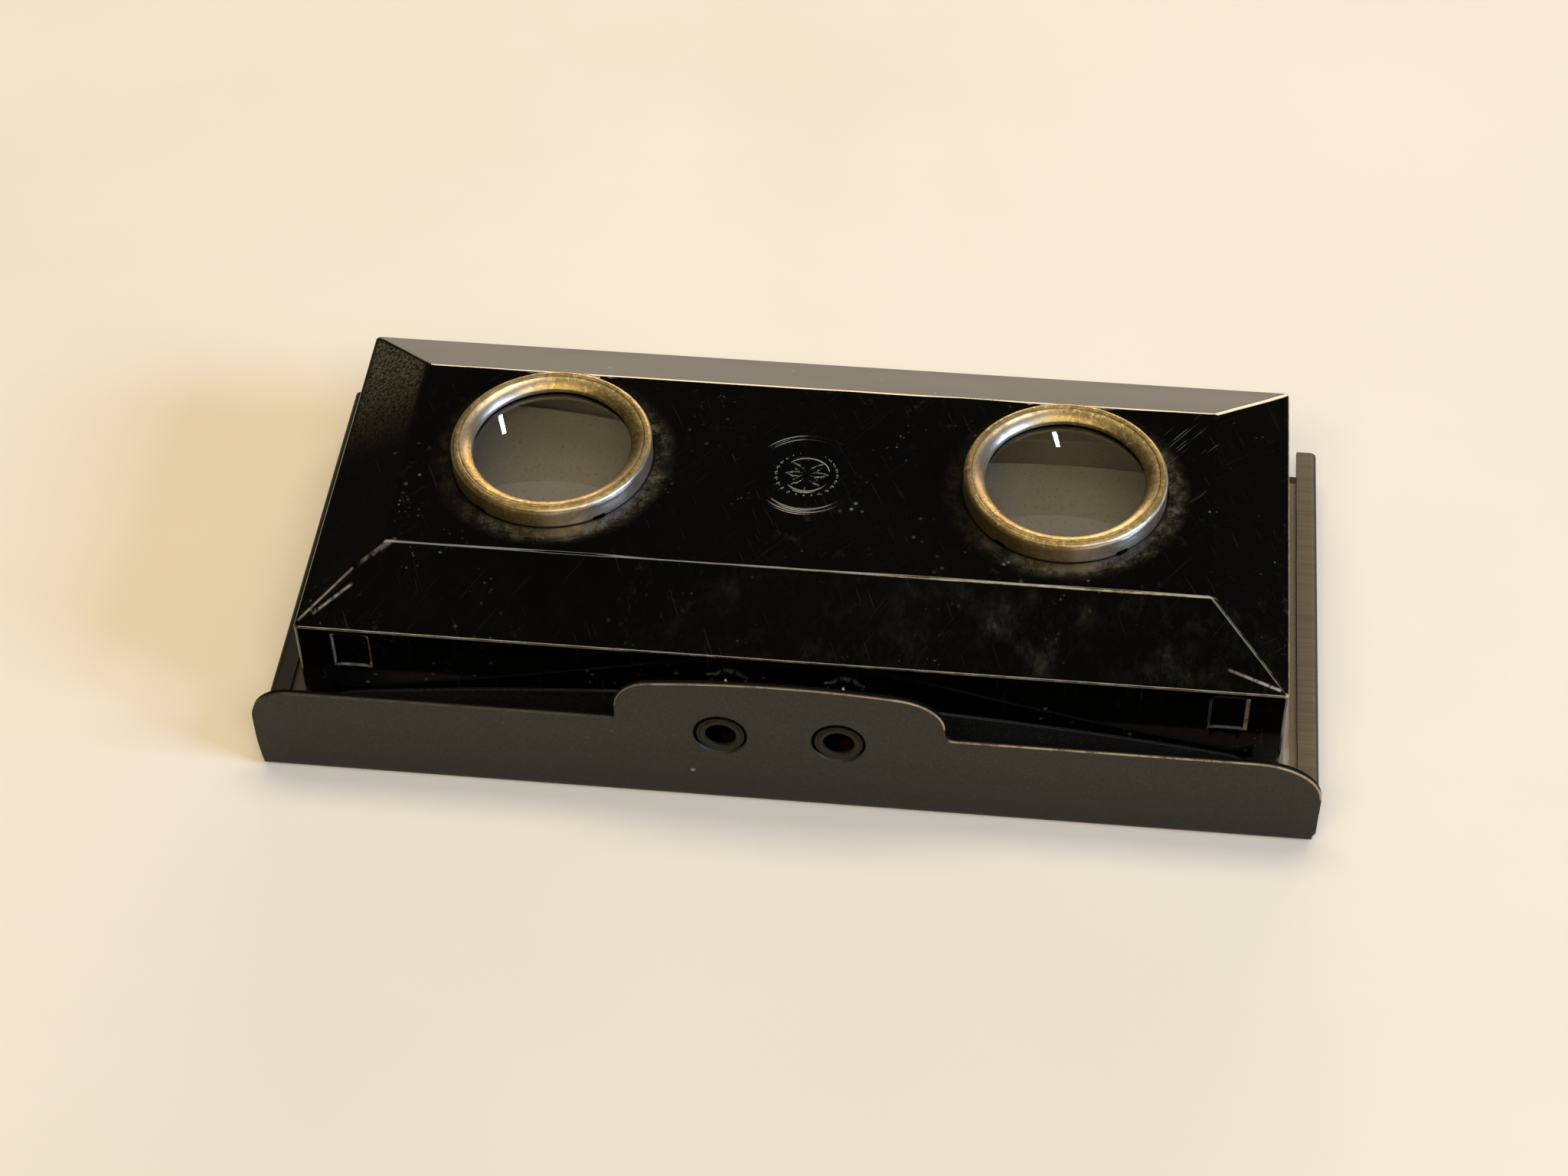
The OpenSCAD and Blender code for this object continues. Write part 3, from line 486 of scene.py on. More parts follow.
def clear_glass():
    """Clear glass with a few specks of dust on it. Its flat back only bends the light."""
    s = Shader("lens_glass")
    soil = s.times(s.ramp(s.cells(0.8), 0.16, 0.07), s.ramp(s.noise(4, 4, 0.65), 0.52, 0.66))
    soil = s.most(s.times(soil, 0.45), s.times(s.ramp(s.noise(6, 5, 0.7, seed=2), 0.55, 0.8), 0.05))
    glass = s.add("ShaderNodeBsdfPrincipled", {
        "Base Color": (1, 1, 1, 1), "Transmission Weight": 1.0, "IOR": 1.52,
        "Roughness": s.ramp(s.noise(15, 3, 0.6), 0.4, 0.8, 0.0, 0.02)})
    bend = s.add("ShaderNodeBsdfRefraction", {"Roughness": 0.0, "IOR": 1.52})
    back = s.mixed(s.ramp(s.z, PANEL_Z + 0.06, PANEL_Z + 0.03), glass.outputs[0], bend.outputs[0])
    clear = s.add("ShaderNodeBsdfTransparent", {0: (0.92, 0.93, 0.92, 1)})
    lit = s.mixed(s.add("ShaderNodeLightPath").outputs["Is Shadow Ray"], back, clear.outputs[0])
    speck = s.add("ShaderNodeBsdfDiffuse", {0: linear(176, 168, 150)})
    return s.end(s.mixed(soil, lit, speck.outputs[0]))


def ground_glass():
    s = Shader("ground_glass")
    grain = s.noise(0.4, 2, 0.6)
    cloud = s.ramp(s.noise(18, 4, 0.6), 0.3, 0.8)
    return s.surface(Base_Color=s.mix(cloud, linear(214, 219, 214), linear(196, 200, 190)),
                     Roughness=s.ramp(grain, 0.3, 0.7, 0.45, 0.6), Transmission_Weight=0.75, IOR=1.5,
                     Normal=s.bump(grain, 0.4, 0.05))


MATERIALS = {
    "cover_lacquer": cover_lacquer(),
    "tray_lacquer": satin("tray_lacquer", (32, 28, 17), (40, 36, 23), (0.46, 0.6), tray_wear, tray_shade, tray_painted_shadows,
                          1.38),
    "frame_lacquer": satin("frame_lacquer", (126, 112, 92), (140, 125, 102), (0.5, 0.65), ear_painted_light, ear_shade),
    "wall_lacquer": satin("wall_lacquer", (92, 86, 74), (106, 100, 88), (0.6, 0.75)),
    "spring_steel": satin("spring_steel", (8, 8, 6), (13, 12, 9), (0.5, 0.62), spring_wear, gloss=1.4),
    "eyelet_steel": eyelet_metal(),
    "hinge_wire": hinge_wire(),
    "ring_metal": ring_metal(),
    "lens_glass": clear_glass(),
    "ground_glass": ground_glass(),
}


def dress_nodes():
    """Every carried-over node takes the material of its slot in the record."""
    for row in frame["record"]["subparts"]:
        node = frame["nodes"][row["node"]]
        node.data.materials.clear()
        node.data.materials.append(MATERIALS[row["material_slot"]])
        node.data.set_sharp_from_angle(angle=radians(28))
        for face in node.data.polygons:
            face.use_smooth = True


dress_nodes()


def smooth_step(low, high, value):
    t = min(1.0, max(0.0, (value - low) / (high - low)))
    return t * t * (3 - 2 * t)


def piece(name, bm, slot, body, node, sharp):
    """Makes an object of a mesh in millimetres, and lets it stand for a CAD node. Edges over sharp degrees stay
    sharp."""
    bmesh.ops.remove_doubles(bm, verts=bm.verts, dist=1e-4)
    bmesh.ops.recalc_face_normals(bm, faces=bm.faces)
    bmesh.ops.scale(bm, vec=(MM, MM, MM), verts=bm.verts)
    mesh = bpy.data.meshes.new(name)
    bm.to_mesh(mesh)
    bm.free()
    for face in mesh.polygons:
        face.use_smooth = True
    mesh.set_sharp_from_angle(angle=radians(sharp))
    mesh.materials.append(MATERIALS[slot])
    obj = bpy.data.objects.new(name, mesh)
    bpy.context.scene.collection.objects.link(obj)
    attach(obj, body)
    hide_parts(node)
    return obj


def thicken(obj):
    """Gives a sheet its thickness, behind its outer face."""
    shell = obj.modifiers.new("sheet", "SOLIDIFY")
    shell.thickness = SHEET_T * MM
    shell.offset = -1
    shell.use_even_offset = True


def round_edges(obj, width, limit=50.0):
    """Breaks the edges that are sharper than limit degrees."""
    edge = obj.modifiers.new("edge", "BEVEL")
    edge.width = width * MM
    edge.segments = 2
    edge.limit_method = "ANGLE"
    edge.angle_limit = radians(limit)
    edge.harden_normals = True


def bridge(bm, first, second, closed=True, skip=None):
    """Quads between two rows of vertices."""
    n = len(first)
    for i in range(n if closed else n - 1):
        if skip and skip(i):
            continue
        j = (i + 1) % n
        bm.faces.new((first[i], first[j], second[j], second[i]))


def skin(bm, rows, **how):
    """Quads between each row of vertices and the next."""
    for one, other in zip(rows, rows[1:]):
        bridge(bm, one, other, **how)


def fill_flat(bm, loops, inner, place):
    """Triangles between loops of vertices in a plane. loops holds lists of (vertex, (u, v)), the outer one first and
    the holes after it; inner holds more (u, v) points, and place turns (u, v) into a position."""
    verts, points, edges = [], [], []
    for loop in loops:
        base = len(points)
        for k, (vert, uv) in enumerate(loop):
            verts.append(vert)
            points.append(Vector(uv))
            edges.append((base + k, base + (k + 1) % len(loop)))
    for uv in inner:
        verts.append(None)
        points.append(Vector(uv))
    out_points, _, faces, origin, _, _ = delaunay_2d_cdt(points, edges, [], 0, 1e-7)
    made = []
    for k, uv in enumerate(out_points):
        source = next((verts[i] for i in origin[k] if verts[i] is not None), None)
        made.append(source or bm.verts.new(place(uv.x, uv.y)))
    rings = [[Vector(uv) for _, uv in loop] for loop in loops]
    for face in faces:
        mid = sum((out_points[i] for i in face), Vector((0, 0))) / len(face)
        if not inside(mid, rings[0]) or any(inside(mid, ring) for ring in rings[1:]):
            continue
        bm.faces.new([made[i] for i in face])


def in_plane(verts, *axes):
    """Vertices with their places in the plane of two axes, as fill_flat takes them."""
    return [(vert, [vert.co[k] for k in axes]) for vert in verts]


def inside(point, ring):
    """Whether a point lies inside a closed line."""
    hit = False
    for a, b in zip(ring, ring[1:] + ring[:1]):
        if (a.y > point.y) != (b.y > point.y):
            if point.x < (b.x - a.x) * (point.y - a.y) / (b.y - a.y) + a.x:
                hit = not hit
    return hit


def spread(low, high, count):
    return [low + (high - low) * i / count for i in range(count + 1)]


def circle(count):
    """Angles of this many points round a circle."""
    return [2 * pi * i / count for i in range(count)]


def rounded(hx, hy, r, arc, right, back):
    """Rounded rectangle of half sizes hx and hy, anticlockwise from its lower right corner. arc, right and back count
    the steps of each corner and of the sides."""
    points = []
    corners = ((1, -1), (1, 1), (-1, 1), (-1, -1))
    for k, (sx, sy) in enumerate(corners):
        for i in range(arc + 1):
            a = radians(90 * (k - 1) + 90 * i / arc)
            points.append((sx * (hx - r) + r * cos(a), sy * (hy - r) + r * sin(a)))
        nx, ny = corners[(k + 1) % 4]
        a = radians(90 * k)
        (x0, y0), (x1, y1) = points[-1], (nx * (hx - r) + r * cos(a), ny * (hy - r) + r * sin(a))
        count = right if k % 2 == 0 else back
        points += [(x0 + (x1 - x0) * i / count, y0 + (y1 - y0) * i / count) for i in range(1, count)]
    return points


# COVER

ALONG, ACROSS, CORNER = 44, 20, 6
SKIRT_ROWS = 5
STAMP_Y = 0.4


def cover_loop(inset_x, inset_y, r, z):
    """A rounded rectangle round the cover, from the right end's front corner anticlockwise."""
    return [(x, y, z) for x, y in rounded(HALF_W - inset_x, HALF_D - inset_y, r, CORNER, ACROSS, ALONG)]


def cover_sections():
    """Rows up the cover as (inset on the ends, inset on the long sides, corner radius, height)."""
    bend_r = 0.4
    start = FOOT_Z - bend_r * tan(radians(31))
    rows = [(0, 0, 0.6, z) for z in spread(SKIRT_Z, start, SKIRT_ROWS)]
    for turn in spread(0, radians(62), 6)[1:]:
        inset = bend_r * (1 - cos(turn))
        rows.append((inset, inset, 0.6, start + bend_r * sin(turn)))
    foot_in, foot_z = rows[-1][0], rows[-1][3]
    rise = PANEL_Z - foot_z
    ridge = 0.3
    for share in spread(0, 1 - ridge / BEVEL_D, 8)[1:]:
        rows.append((foot_in + (BEVEL_W - foot_in) * share, foot_in + (BEVEL_D - foot_in) * share, 0.6,
                     foot_z + rise * share))
    x, y, _, z = rows[-1]
    for t in spread(0, 1, 5)[1:]:
        start, middle, end = (1 - t) ** 2, 2 * t * (1 - t), t * t
        rows.append((x * start + BEVEL_W * middle + (BEVEL_W + ridge) * end,
                     y * start + BEVEL_D * middle + (BEVEL_D + ridge) * end, 0.6,
                     z * start + PANEL_Z * (middle + end)))
    return rows


def seat_height(r):
    """Embossed seat that a lens ring stands in."""
    return 0.07 * (1 - smooth_step(RING_R + 0.9, RING_R + 2.4, r)) if r > RING_R + 0.05 else 0.0


def stamp_height(r, angle):
    """Plain rosette pressed into the middle of the cover."""
    line = 0.0
    for radius, width in ((6.9, 0.16), (6.3, 0.12), (3.1, 0.14)):
        line = max(line, 1 - smooth_step(width * 0.6, width * 1.7, abs(r - radius)))
    rays = abs((angle / (pi / 12) + 0.5) % 1 - 0.5) * (pi / 12) * r
    if 3.7 < r < 5.7:
        line = max(line, 1 - smooth_step(0.08, 0.24, rays))
    petal = abs((angle / (pi / 4) + 0.5) % 1 - 0.5) * 2
    curve = 0.7 + 1.9 * (1 - petal) ** 0.8
    if r < 2.8:
        line = max(line, 1 - smooth_step(0.08, 0.24, abs(r - curve)))
    return -0.11 * line


def polar_patch(bm, cx, cy, radii, count, height, skip=None):
    """Rings of quads about a point; returns the outer ring and the inner one."""
    rings = [[bm.verts.new((cx + r * cos(a), cy + r * sin(a), height(r, a))) for a in circle(count)]
             for r in radii]
    for k in range(len(rings) - 1):
        bridge(bm, rings[k], rings[k + 1], skip=(lambda i, k=k: skip(k, i)) if skip else None)
    return rings


def off_lens(x, y):
    """Distance from the nearer lens axis, with y from the cover's middle."""
    return hypot(abs(x) - EYE_X, y - EYE_Y + COVER_Y)


def build_cover():
    bm = bmesh.new()
    rows = [[bm.verts.new(p) for p in cover_loop(*section)] for section in cover_sections()]
    front = range(4 * CORNER + 2 * ACROSS + ALONG, len(rows[0]))
    skin(bm, rows[:SKIRT_ROWS + 1], skip=lambda i: i in front)
    skin(bm, rows[SKIRT_ROWS:])
    build_front_skirt(bm, rows[:SKIRT_ROWS + 1], front)

    # panel, with a polar patch round each lens and round the rosette
    radii = [HOLE_R, 10.7, 11.1, 11.6, 12.3, RING_R + 0.06, 13.1, 13.5, 13.9, 14.1, 14.3, 14.5, 14.7, 14.9, 15.1, 15.6]
    count = 144

    def slot_at(k, i):
        angle = (i + 0.5) * 360 / count
        near = min(abs((angle - a + 180) % 360 - 180) for a in TAB_ANGLES)
        return 11.5 < radii[k] < 11.7 and near < 7.6

    holes = []
    for sx in (-1, 1):
        rings = polar_patch(bm, sx * EYE_X, EYE_Y - COVER_Y, radii, count,
                            lambda r, a: PANEL_Z + seat_height(r), slot_at)
        holes.append(in_plane(rings[-1], 0, 1))
    rings = polar_patch(bm, 0, STAMP_Y, spread(0.15, 7.6, 70), 240, lambda r, a: PANEL_Z + stamp_height(r, a))
    bm.faces.new(rings[0][::-1])
    holes.append(in_plane(rings[-1], 0, 1))
    hx, hy = RIDGE_X - 2.5, HALF_D - BEVEL_D - 2.5
    inner = [(x, y) for x in spread(-hx, hx, 36) for y in spread(-hy, hy, 11)
             if off_lens(x, y) > 16.4 and hypot(x, y - STAMP_Y) > 8.5]
    fill_flat(bm, [in_plane(rows[-1], 0, 1)] + holes, inner, lambda u, v: (u, v, PANEL_Z))

    for vert in bm.verts:
        x, y, z = vert.co
        if z > PANEL_Z - 0.01:
            edge = min(1.0, (HALF_W - BEVEL_W - abs(x)) / 12, (HALF_D - BEVEL_D - abs(y)) / 8)
            vert.co.z -= 0.08 * smooth_step(0, 1, edge) * smooth_step(15.5, 24, off_lens(x, y))
        elif z > FOOT_Z + 0.6:
            vert.co.z += 0.07 * noise.noise(vert.co / 9) - 0.03
        elif z < FOOT_Z - 0.8:
            out = smooth_step(0, 4, z - SKIRT_Z) * smooth_step(0, 2, FOOT_Z - 0.8 - z)
            vert.co.y -= copysign(0.05 * out * abs(noise.noise(vert.co / 15)), y)
        vert.co.y += COVER_Y
    obj = piece("cover_shell", bm, "cover_lacquer", "viewer_cover", "cover", sharp=50)
    thicken(obj)
    obj.modifiers.new("normals", "WEIGHTED_NORMAL").keep_sharp = True


def build_front_skirt(bm, rows, front):
    """Flat front of the skirt, with the two pressed catch recesses."""
    across = [*front, 0]
    rim = [rows[0][i] for i in across] + [row[0] for row in rows[1:-1]]
    rim += [rows[-1][i] for i in across[::-1]] + [row[front[0]] for row in rows[-2:0:-1]]
    inner = []
    for s in (-1, 1):
        for off, deep in ((0.28, 0), (0.16, 0.1), (0.0, 0.5), (-0.16, 0.9), (-0.28, 1), (-0.7, 1), (-1.4, 1)):
            inner += [(s * CATCH_X + u, CATCH_Z + v) for u, v in
                      rounded(CATCH_HALF_W + off, CATCH_HALF_H + off, max(0.3, CATCH_R + off), 5, 4, 4)]
        inner.append((s * CATCH_X, CATCH_Z))

    def deep_at(u, v):
        du, dv = abs(abs(u) - CATCH_X) - CATCH_HALF_W + CATCH_R, abs(v - CATCH_Z) - CATCH_HALF_H + CATCH_R
        off = hypot(max(du, 0), max(dv, 0)) - CATCH_R + min(max(du, dv), 0)
        return CATCH_DEEP * (1 - smooth_step(-0.28, 0.28, off))

    inner += [(u, v) for u in spread(-HALF_W + 6, HALF_W - 6, 36) for v in spread(SKIRT_Z + 2.4, FOOT_Z - 3, 4)
              if abs(abs(u) - CATCH_X) > CATCH_HALF_W + 0.8 or abs(v - CATCH_Z) > CATCH_HALF_H + 0.8]
    fill_flat(bm, [in_plane(rim, 0, 2)], inner, lambda u, v: (u, deep_at(u, v) - HALF_D, v))


# LENSES AND RINGS

def lathe(bm, profile, count, cx, cy, z0, shape=None, closed=True):
    """Turns a profile of (radius, height) about an upright axis."""
    rows = []
    for k, (r, z) in enumerate(profile):
        row = []
        for a in circle(count):
            dr, dz = shape(k, a, r, z) if shape else (0, 0)
            row.append(bm.verts.new((cx + (r + dr) * cos(a), cy + (r + dr) * sin(a), z0 + z + dz)))
        rows.append(row)
    skin(bm, rows + rows[:1] if closed else rows)
    return rows


def ring_section():
    """Half section of a lens ring: outer wall, worn ridge with two turned lines, slope, and lens pocket."""
    section = [(RING_R - 1.0, 0.0), (RING_R - 0.12, 0.0), (RING_R, 0.12), (RING_R, 0.5), (RING_R - 0.02, 1.2),
               (RING_R, RING_H - 0.9)]
    section += [(RING_R - 0.72 + 0.72 * cos(a), RING_H - 0.72 + 0.72 * sin(a))
                for a in spread(0, pi / 2, 9)[1:-1]]
    section += [(11.98, RING_H), (11.89, RING_H - 0.03), (11.83, RING_H - 0.09), (11.77, RING_H - 0.06),
                (11.62, RING_H - 0.08), (11.38, RING_H - 0.15), (11.14, RING_H - 0.26), (10.90, RING_H - 0.40),
                (10.68, RING_H - 0.56), (10.48, RING_H - 0.74), (10.30, RING_H - 0.92), (10.17, RING_H - 1.07),
                (EYE_R + 0.03, RING_H - 1.20), (EYE_R, RING_H - 1.30)]
    section += [(EYE_R, 1.62), (LENS_R + 0.1, 1.62), (LENS_R + 0.1, 0.0)]
    return section


def build_ring(side):
    s = SIDES[side]
    bm = bmesh.new()
    section = ring_section()

    def shape(k, a, r, z):
        notch = min(abs((degrees(a) - 18 - 72 * j + 180) % 360 - 180) for j in range(5)) < 3.7
        lift = 0.45 - z if notch and z < 0.45 and r > RING_R - 0.9 else 0.0
        seed = Vector((cos(a) * 5, sin(a) * 5, 7.3 * s + 0.4 * k))
        if RING_H - 1.2 < z and r > 10.9:
            rough = 0.025 * noise.noise(seed * 3) + 0.02 * noise.noise(seed * 9)
            return (min(0, rough) if r > 12.5 else rough, min(0.0, 1.4 * rough))
        return (0.0, lift)

    lathe(bm, section, 240, s * EYE_X, EYE_Y, PANEL_Z, shape)
    for angle in TAB_ANGLES:
        build_ring_tab(bm, s * EYE_X, EYE_Y, radians(angle))
    piece("ring_" + side, bm, "ring_metal", "viewer_cover", "lens_ring_" + side, sharp=35)


def build_ring_tab(bm, cx, cy, angle):
    """Tongue of a ring, through the cover and bent out under it."""
    inner, outer, foot, half = LENS_R + 0.5, LENS_R + 1.0, LENS_R + 2.8, 1.5
    path = [(inner, 0.0), (inner, -SHEET_T - 0.35), (inner + 0.15, -SHEET_T - 0.5), (foot, -SHEET_T - 0.5),
            (foot, -SHEET_T), (outer, -SHEET_T), (outer, 0.0)]
    sides = []
    c, s = cos(angle), sin(angle)
    for w in (-half, half):
        row = [bm.verts.new((cx + r * c - w * s, cy + r * s + w * c, PANEL_Z + z)) for r, z in path]
        sides.append(row)
        bm.faces.new(row if w > 0 else row[::-1])
    bridge(bm, sides[0], sides[1])


def build_lens(side):
    """A clear lens, flat below and domed above, with a narrow ground bevel."""
    s = SIDES[side]
    centre_z = LENS_EDGE - sqrt(LENS_CURVE ** 2 - LENS_R ** 2)
    profile = [(0.4 * k, 0.0) for k in range(1, 27)] + [(LENS_R - 0.1, 0.0), (LENS_R, 0.1), (LENS_R, LENS_EDGE)]
    profile += [(0.4 * k, centre_z + sqrt(LENS_CURVE ** 2 - (0.4 * k) ** 2)) for k in range(27, 0, -1)]
    bm = bmesh.new()
    rows = lathe(bm, profile, 128, s * EYE_X, EYE_Y, PANEL_Z, closed=False)
    bm.faces.new(rows[0][::-1])
    bm.faces.new(rows[-1])
    piece("eye_lens_" + side, bm, "lens_glass", "viewer_cover", "lens_" + side, sharp=50)


# TRAY

def lip_points():
    """Outline of the lip above its bend, from the left foot over the top to the right foot."""
    lw, lh = LIP_CORNERS[-1]
    rw, rh = LIP_CORNERS[1]
    points = [(-lip_half_width(z), z) for z in spread(BEND_R, LIP_H - lh, 8)]
    cx = LIP_SIDE - lw
    points += [(-cx + lw * cos(a), LIP_H - lh + lh * sin(a)) for a in spread(pi, pi / 2, 12)[1:]]
    points += [(x, LIP_H) for x in spread(-cx, -TAB_HALF_W - 1.0, 24)[1:]]
    points += [(-TAB_HALF_W - 0.45, LIP_H - 0.06), (-TAB_HALF_W - 0.12, LIP_H - 0.02), (-TAB_HALF_W, LIP_H + 0.3)]
    points += [(-TAB_HALF_W, z) for z in (LIP_H + 0.9, LIP_H + 1.5)]
    points += tab_corner(-1)
    points += [(x, crown(x)) for x in spread(-15.2, 13.2, 26)[1:-1]]
    points += tab_corner(1)[::-1]
    points += [(TAB_HALF_W, LIP_H + 1.4), (TAB_HALF_W + 0.12, LIP_H + 0.7), (TAB_HALF_W + 0.45, LIP_H + 0.25),
               (TAB_HALF_W + 1.0, LIP_H + 0.03)]
    cx = LIP_SIDE - rw
    points += [(x, LIP_H) for x in spread(TAB_HALF_W + 1.6, cx, 24)]
    points += [(cx + rw * cos(a), LIP_H - rh + rh * sin(a)) for a in spread(pi / 2, 0, 14)[1:]]
    points += [(lip_half_width(z), z) for z in spread(LIP_H - rh, BEND_R, 8)[1:]]
    return points


def tab_corner(side):
    """One round corner of the tab, from its side up to its crowned edge."""
    w, h = TAB_CORNERS[side]
    cx, cz = TAB_HALF_W - w, crown(TAB_HALF_W - w) - h
    return [(side * (cx + w * cos(a)), cz + h * sin(a)) for a in spread(0, radians(84), 10)]


def eyelet_ring(bm, s, r, deep, count):
    """Ring of vertices about an eyelet's axis, this deep behind the lip's front."""
    return [bm.verts.new((s * EYELET_X + r * cos(a), LIP_Y + deep, EYELET_Z + r * sin(a)))
            for a in circle(count)]


def quarter_turn():
    """Sine and cosine at six steps through a bend of the sheet."""
    return [(sin(radians(15 * i)), cos(radians(15 * i))) for i in range(1, 7)]


def build_tray():
    bm = bmesh.new()
    outline = lip_points()
    rim = [(bm.verts.new((x, LIP_Y, z)), (x, z)) for x, z in outline]
    stations = spread(-END_X + BEND_R, END_X - BEND_R, 44)
    feet = [-lip_half_width(BEND_R)] + stations + [lip_half_width(BEND_R)]
    bottom = [rim[0][0]] + [bm.verts.new((x, LIP_Y, BEND_R)) for x in stations] + [rim[-1][0]]
    loop = rim + in_plane(bottom[-2:0:-1], 0, 2)
    dimple_rings = [TUBE_R - 0.1, 2.6, 2.95, 3.04, 3.08, 3.12, 3.17, 3.22, 3.26, 3.3, 3.5, 3.9, 4.4]
    holes = []
    for s in (-1, 1):
        rings = [eyelet_ring(bm, s, r, DIMPLE_DEEP * (1 - smooth_step(DIMPLE_IN_R, DIMPLE_OUT_R, r)), 96)
                 for r in dimple_rings]
        skin(bm, rings)
        holes.append(in_plane(rings[-1], 0, 2))
    inner = [(x, z) for x in spread(-62, 62, 50) for z in spread(3.2, 12.4, 4)
             if hypot(abs(x) - EYELET_X, z - EYELET_Z) > 5.2]
    inner += [(x, z) for x in spread(-17, 17, 14) for z in (16.6, 18.6)]
    fill_flat(bm, [loop] + holes, inner, lambda u, v: (u, LIP_Y, v))

    # bend from the lip to the floor
    rows = [bottom]
    for sine, cosine in quarter_turn():
        y, z = LIP_Y + BEND_R * (1 - cosine), BEND_R * (1 - sine)
        rows.append([bm.verts.new((x, y, z)) for x in feet])
    skin(bm, rows, closed=False)
    front = rows[-1][1:-1]

    # floor with its two windows
    y_rows = spread(LIP_Y + BEND_R, BACK_EDGE_Y, 20)
    sides = {}
    for s in (-1, 1):
        sides[s] = [front[0] if s < 0 else front[-1]]
        sides[s] += [bm.verts.new((s * (END_X - BEND_R), y, 0)) for y in y_rows[1:]]
    back = [bm.verts.new((x, BACK_EDGE_Y, 0)) for x in stations[1:-1]]
    floor = front + sides[1][1:] + back[::-1] + sides[-1][:0:-1]
    holes = []
    for s in (-1, 1):
        ring = rounded(WINDOW_W / 2, WINDOW_D / 2, WINDOW_CORNER_R, 6, 10, 10)
        holes.append([(bm.verts.new((s * EYE_X + u, COVER_Y + v, 0)), (s * EYE_X + u, COVER_Y + v)) for u, v in ring])
    fill_flat(bm, [in_plane(floor, 0, 1)] + holes, [], lambda u, v: (u, v, 0))

    # end channels
    for s in (-1, 1):
        path = [(END_X - BEND_R * (1 - sine), BEND_R * (1 - cosine)) for sine, cosine in quarter_turn()]
        path += [(END_X, z) for z in spread(BEND_R, CHANNEL_TOP - BEND_R, 3)[1:]]
        path += [(END_X - BEND_R * (1 - cosine), CHANNEL_TOP - BEND_R * (1 - sine)) for sine, cosine in quarter_turn()]
        path.append((END_X - FLANGE_W, CHANNEL_TOP))
        rows = [[bm.verts.new((s * x, y, z)) for y in y_rows] for x, z in path]
        for vert, y in zip(rows[-1], y_rows):
            vert.co.x += s * 0.05 * noise.noise(Vector((s * 3.0, y / 2.2, 0)))
        skin(bm, [sides[s]] + rows, closed=False)
    obj = piece("tray_shell", bm, "tray_lacquer", "base", "tray", sharp=50)
    thicken(obj)
    round_edges(obj, 0.14)


def build_eyelets():
    """Two hollow rivets: a rolled head in each dimple, a tube, and an end split into points that are bent out."""
    bm = bmesh.new()
    barrel = box_mm("spring_collars")[1][1] + 0.45 + 0.3
    for s in (-1, 1):
        section = [(TUBE_HOLE_R, barrel - LIP_Y), (TUBE_HOLE_R, 1.0), (TUBE_HOLE_R + 0.02, 0.62)]
        section += [(TUBE_HOLE_R + 0.42 + 0.40 * cos(a), 0.40 + 0.30 * sin(a))
                    for a in spread(pi, 2 * pi, 8)]
        section += [(2.96, 0.30), (2.98, 0.44), (TUBE_R, 0.46), (TUBE_R, barrel - LIP_Y)]
        rows = [eyelet_ring(bm, s, r, deep, 64) for r, deep in section]
        skin(bm, rows + rows[:1])
        for i, a in enumerate(circle(TONGUES)):
            build_point(bm, s * EYELET_X, barrel, a, i + (0 if s < 0 else TONGUES))
    piece("split_eyelets", bm, "eyelet_steel", "base", "spring_eyelets", sharp=45)


def build_point(bm, cx, y, angle, seed):
    """One pointed tongue of an eyelet's end, curling outwards over the spring."""
    half, length, thick = 0.70, 2.45, 0.30
    lean = radians(58 + 8 * noise.noise(Vector((seed * 1.7, 0.3, 0))))
    steps = 7
    r, out = TUBE_R - 0.17, y - 0.05
    c, s = cos(angle), sin(angle)
    rows = []
    for k in range(steps + 1):
        t = k / steps
        turn = lean * min(1.0, t * 2.2)
        w = half * (1 - t) + 0.10 * t
        rd, od = sin(turn), cos(turn)
        row = []
        for side, face in ((-w, 0.5), (w, 0.5), (w, -0.5), (-w, -0.5)):
            radius = r + face * thick * od
            row.append(bm.verts.new((cx + radius * c - side * s, out - face * thick * rd,
                                     EYELET_Z + radius * s + side * c)))
        rows.append(row)
        r += rd * length / steps
        out += od * length / steps * 0.9
    skin(bm, rows)
    bm.faces.new(rows[0])
    bm.faces.new(rows[-1][::-1])


def soft_copy(name, node, slot, body, width):
    """The same solid with its edges broken as a tumbled pressing has them."""
    bm = bmesh.new()
    bm.from_mesh(frame["nodes"][node].data)
    bmesh.ops.scale(bm, vec=(1 / MM, 1 / MM, 1 / MM), verts=bm.verts)
    bmesh.ops.remove_doubles(bm, verts=bm.verts, dist=1e-3)
    bmesh.ops.dissolve_limit(bm, angle_limit=radians(0.5), verts=bm.verts, edges=bm.edges)
    obj = piece(name, bm, slot, body, node, sharp=35)
    round_edges(obj, width, 40)
    return obj


def build_back_leaf():
    """The back wall's upper leaf, with the edge that shows through the left lens cut a little skew."""
    obj = soft_copy("back_leaf", "back_upper_wall", "wall_lacquer", "back_upper", 0.08)
    low, high = box_mm("back_cover_pin")
    hinge_y = (low[1] + high[1]) / 2
    for vert in obj.data.vertices:
        x, y, _ = (c / MM for c in vert.co)
        if abs(x + EYE_X) < 13.1 and hinge_y - 13.3 < y < hinge_y - 10.7:
            share = (x + EYE_X + 13) / 26
            vert.co.y += (3.5 - 1.3 * share) * MM


build_cover()
for side in SIDES:
    build_ring(side)
    build_lens(side)
build_tray()
build_eyelets()
soft_copy("spring_blade", "leaf_spring", "spring_steel", "base", 0.08)
soft_copy("frame_plate", "picture_frame", "frame_lacquer", "base", 0.12)
build_back_leaf()


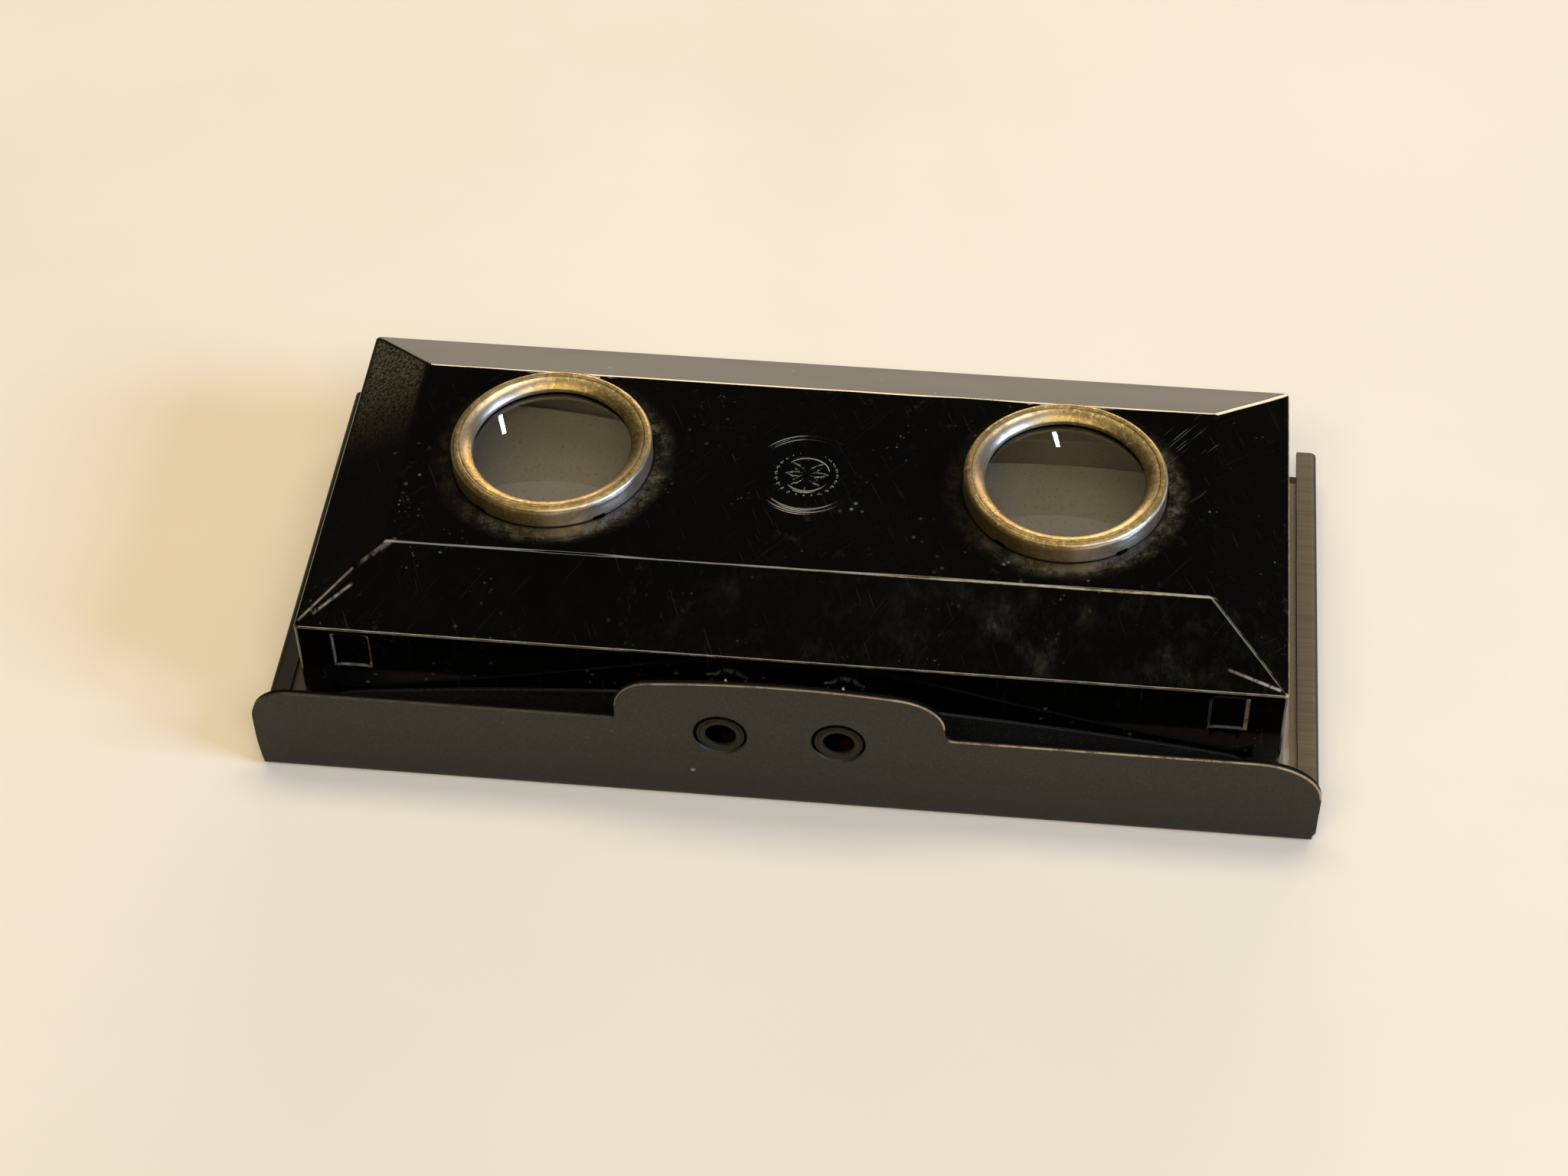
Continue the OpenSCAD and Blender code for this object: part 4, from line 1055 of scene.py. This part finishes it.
def table():
    bpy.ops.mesh.primitive_plane_add(size=6, location=(0, 0, -0.0001))
    floor = bpy.context.object
    floor.name = "table_top"
    s = Shader("table_top")
    color = s.mix(s.ramp(s.noise(90, 4, 0.6), 0.35, 0.7), linear(242, 231, 211), linear(246, 235, 217))
    color = s.mix(s.ramp(s.noise(3, 5, 0.8, seed=4), 0.55, 0.85, 0.0, 0.06), color, linear(214, 190, 150))
    floor.data.materials.append(s.surface(Base_Color=color, Roughness=0.7, Specular_IOR_Level=0.2,
                                          Normal=s.bump(s.noise(0.8, 3, 0.6), 0.1, 0.1)))


def lamp_at(name, place, size, radiance, tone):
    """A rectangular lamp that faces the object, with this brightness of its face."""
    data = bpy.data.lights.new(name, "AREA")
    data.shape = "RECTANGLE"
    data.size, data.size_y = size
    data.energy = radiance * pi * size[0] * size[1]
    data.color = tone
    lamp = bpy.data.objects.new(name, data)
    bpy.context.scene.collection.objects.link(lamp)
    lamp.location = place
    lamp.rotation_euler = (-place).to_track_quat("-Z", "Y").to_euler()
    return lamp


def lamp_from(name, direction, distance, *look):
    """A soft lamp seen from the object in this direction."""
    return lamp_at(name, Vector(direction).normalized() * distance, *look)


def share(lamp, state, *names):
    """With INCLUDE a lamp lights these objects alone, with EXCLUDE everything but them."""
    group = bpy.data.collections.new(lamp.name + "_" + state.lower())
    for name in names:
        group.objects.link(bpy.data.objects[name])
    for row in group.collection_objects:
        row.light_linking.link_state = state
    lamp.light_linking.receiver_collection = group


def tube(name, low, high, width, lens):
    """A narrow lamp between two far points, seen only as a bright bar in one lens."""
    low, high = Vector(low), Vector(high)
    middle, along = (low + high) / 2, high - low
    lamp = lamp_at(name, middle, (width, along.length), 45.0, (1.0, 0.97, 0.92))
    back, up = middle.normalized(), along.normalized()
    side = up.cross(back).normalized()
    lamp.matrix_world = Matrix.Translation(middle) @ Matrix((side, back.cross(side), back)).transposed().to_4x4()
    share(lamp, "INCLUDE", lens)


def lights():
    """A window on the right, low and bluish; warm room light from above in front; a pale wall far behind."""
    lenses = ["eye_lens_left", "eye_lens_right"]
    overhead = (0.0, 0.26, 0.965)
    lamp_from("window", (0.872, -0.2315, 0.4305), 1.8, (0.7, 0.47), 29.0, (0.38, 0.58, 1.0))
    ceiling = lamp_from("ceiling", overhead, 2.4, (2.6, 0.8), 3.6, (1.0, 0.93, 0.76))
    share(ceiling, "EXCLUDE", *lenses)
    lamp_from("room", (0.0, -0.62, 0.785), 2.4, (2.4, 0.75), 6.2, (1.0, 0.86, 0.60))
    glint = lamp_from("ceiling_glint", overhead, 2.4, (2.6, 0.8), 0.6, (1.0, 0.96, 0.92))
    share(glint, "INCLUDE", *lenses)
    lamp_from("back_low", (0.08, 0.97, 0.16), 1.9, (1.7, 0.5), 9.6, (1.0, 0.77, 0.52))
    tube("tube_left", (-0.617, 1.290, 0.552), (-0.602, 1.110, 0.869), 0.026, "eye_lens_left")
    tube("tube_right", (-0.055, 1.454, 0.431), (-0.024, 1.312, 0.765), 0.024, "eye_lens_right")
    world = bpy.data.worlds.new("room")
    bpy.context.scene.world = world
    world.use_nodes = True
    color, strength = world.node_tree.nodes["Background"].inputs[:2]
    color.default_value, strength.default_value = (1.0, 0.92, 0.76, 1), 0.03


def camera():
    el, az = radians(ELEVATION), radians(AZIMUTH)
    back = Vector((sin(az) * cos(el), -cos(az) * cos(el), sin(el)))
    data = bpy.data.cameras.new("photo_camera")
    data.sensor_width = 36.0
    data.lens = FOCAL_PX / PHOTO_W * data.sensor_width
    data.clip_start, data.clip_end = 0.01, 20
    cam = bpy.data.objects.new("photo_camera", data)
    bpy.context.scene.collection.objects.link(cam)
    right = Vector((0, 0, 1)).cross(back).normalized()
    up = back.cross(right)
    c, s = cos(radians(ROLL)), sin(radians(ROLL))
    right, up = right * c + up * s, up * c - right * s
    turn = Matrix((right, up, back)).transposed().to_4x4()
    cam.matrix_world = Matrix.Translation(TARGET + back * DISTANCE) @ turn
    bpy.context.scene.camera = cam


table()
lights()
camera()
bpy.context.scene.view_settings.view_transform = "Standard"
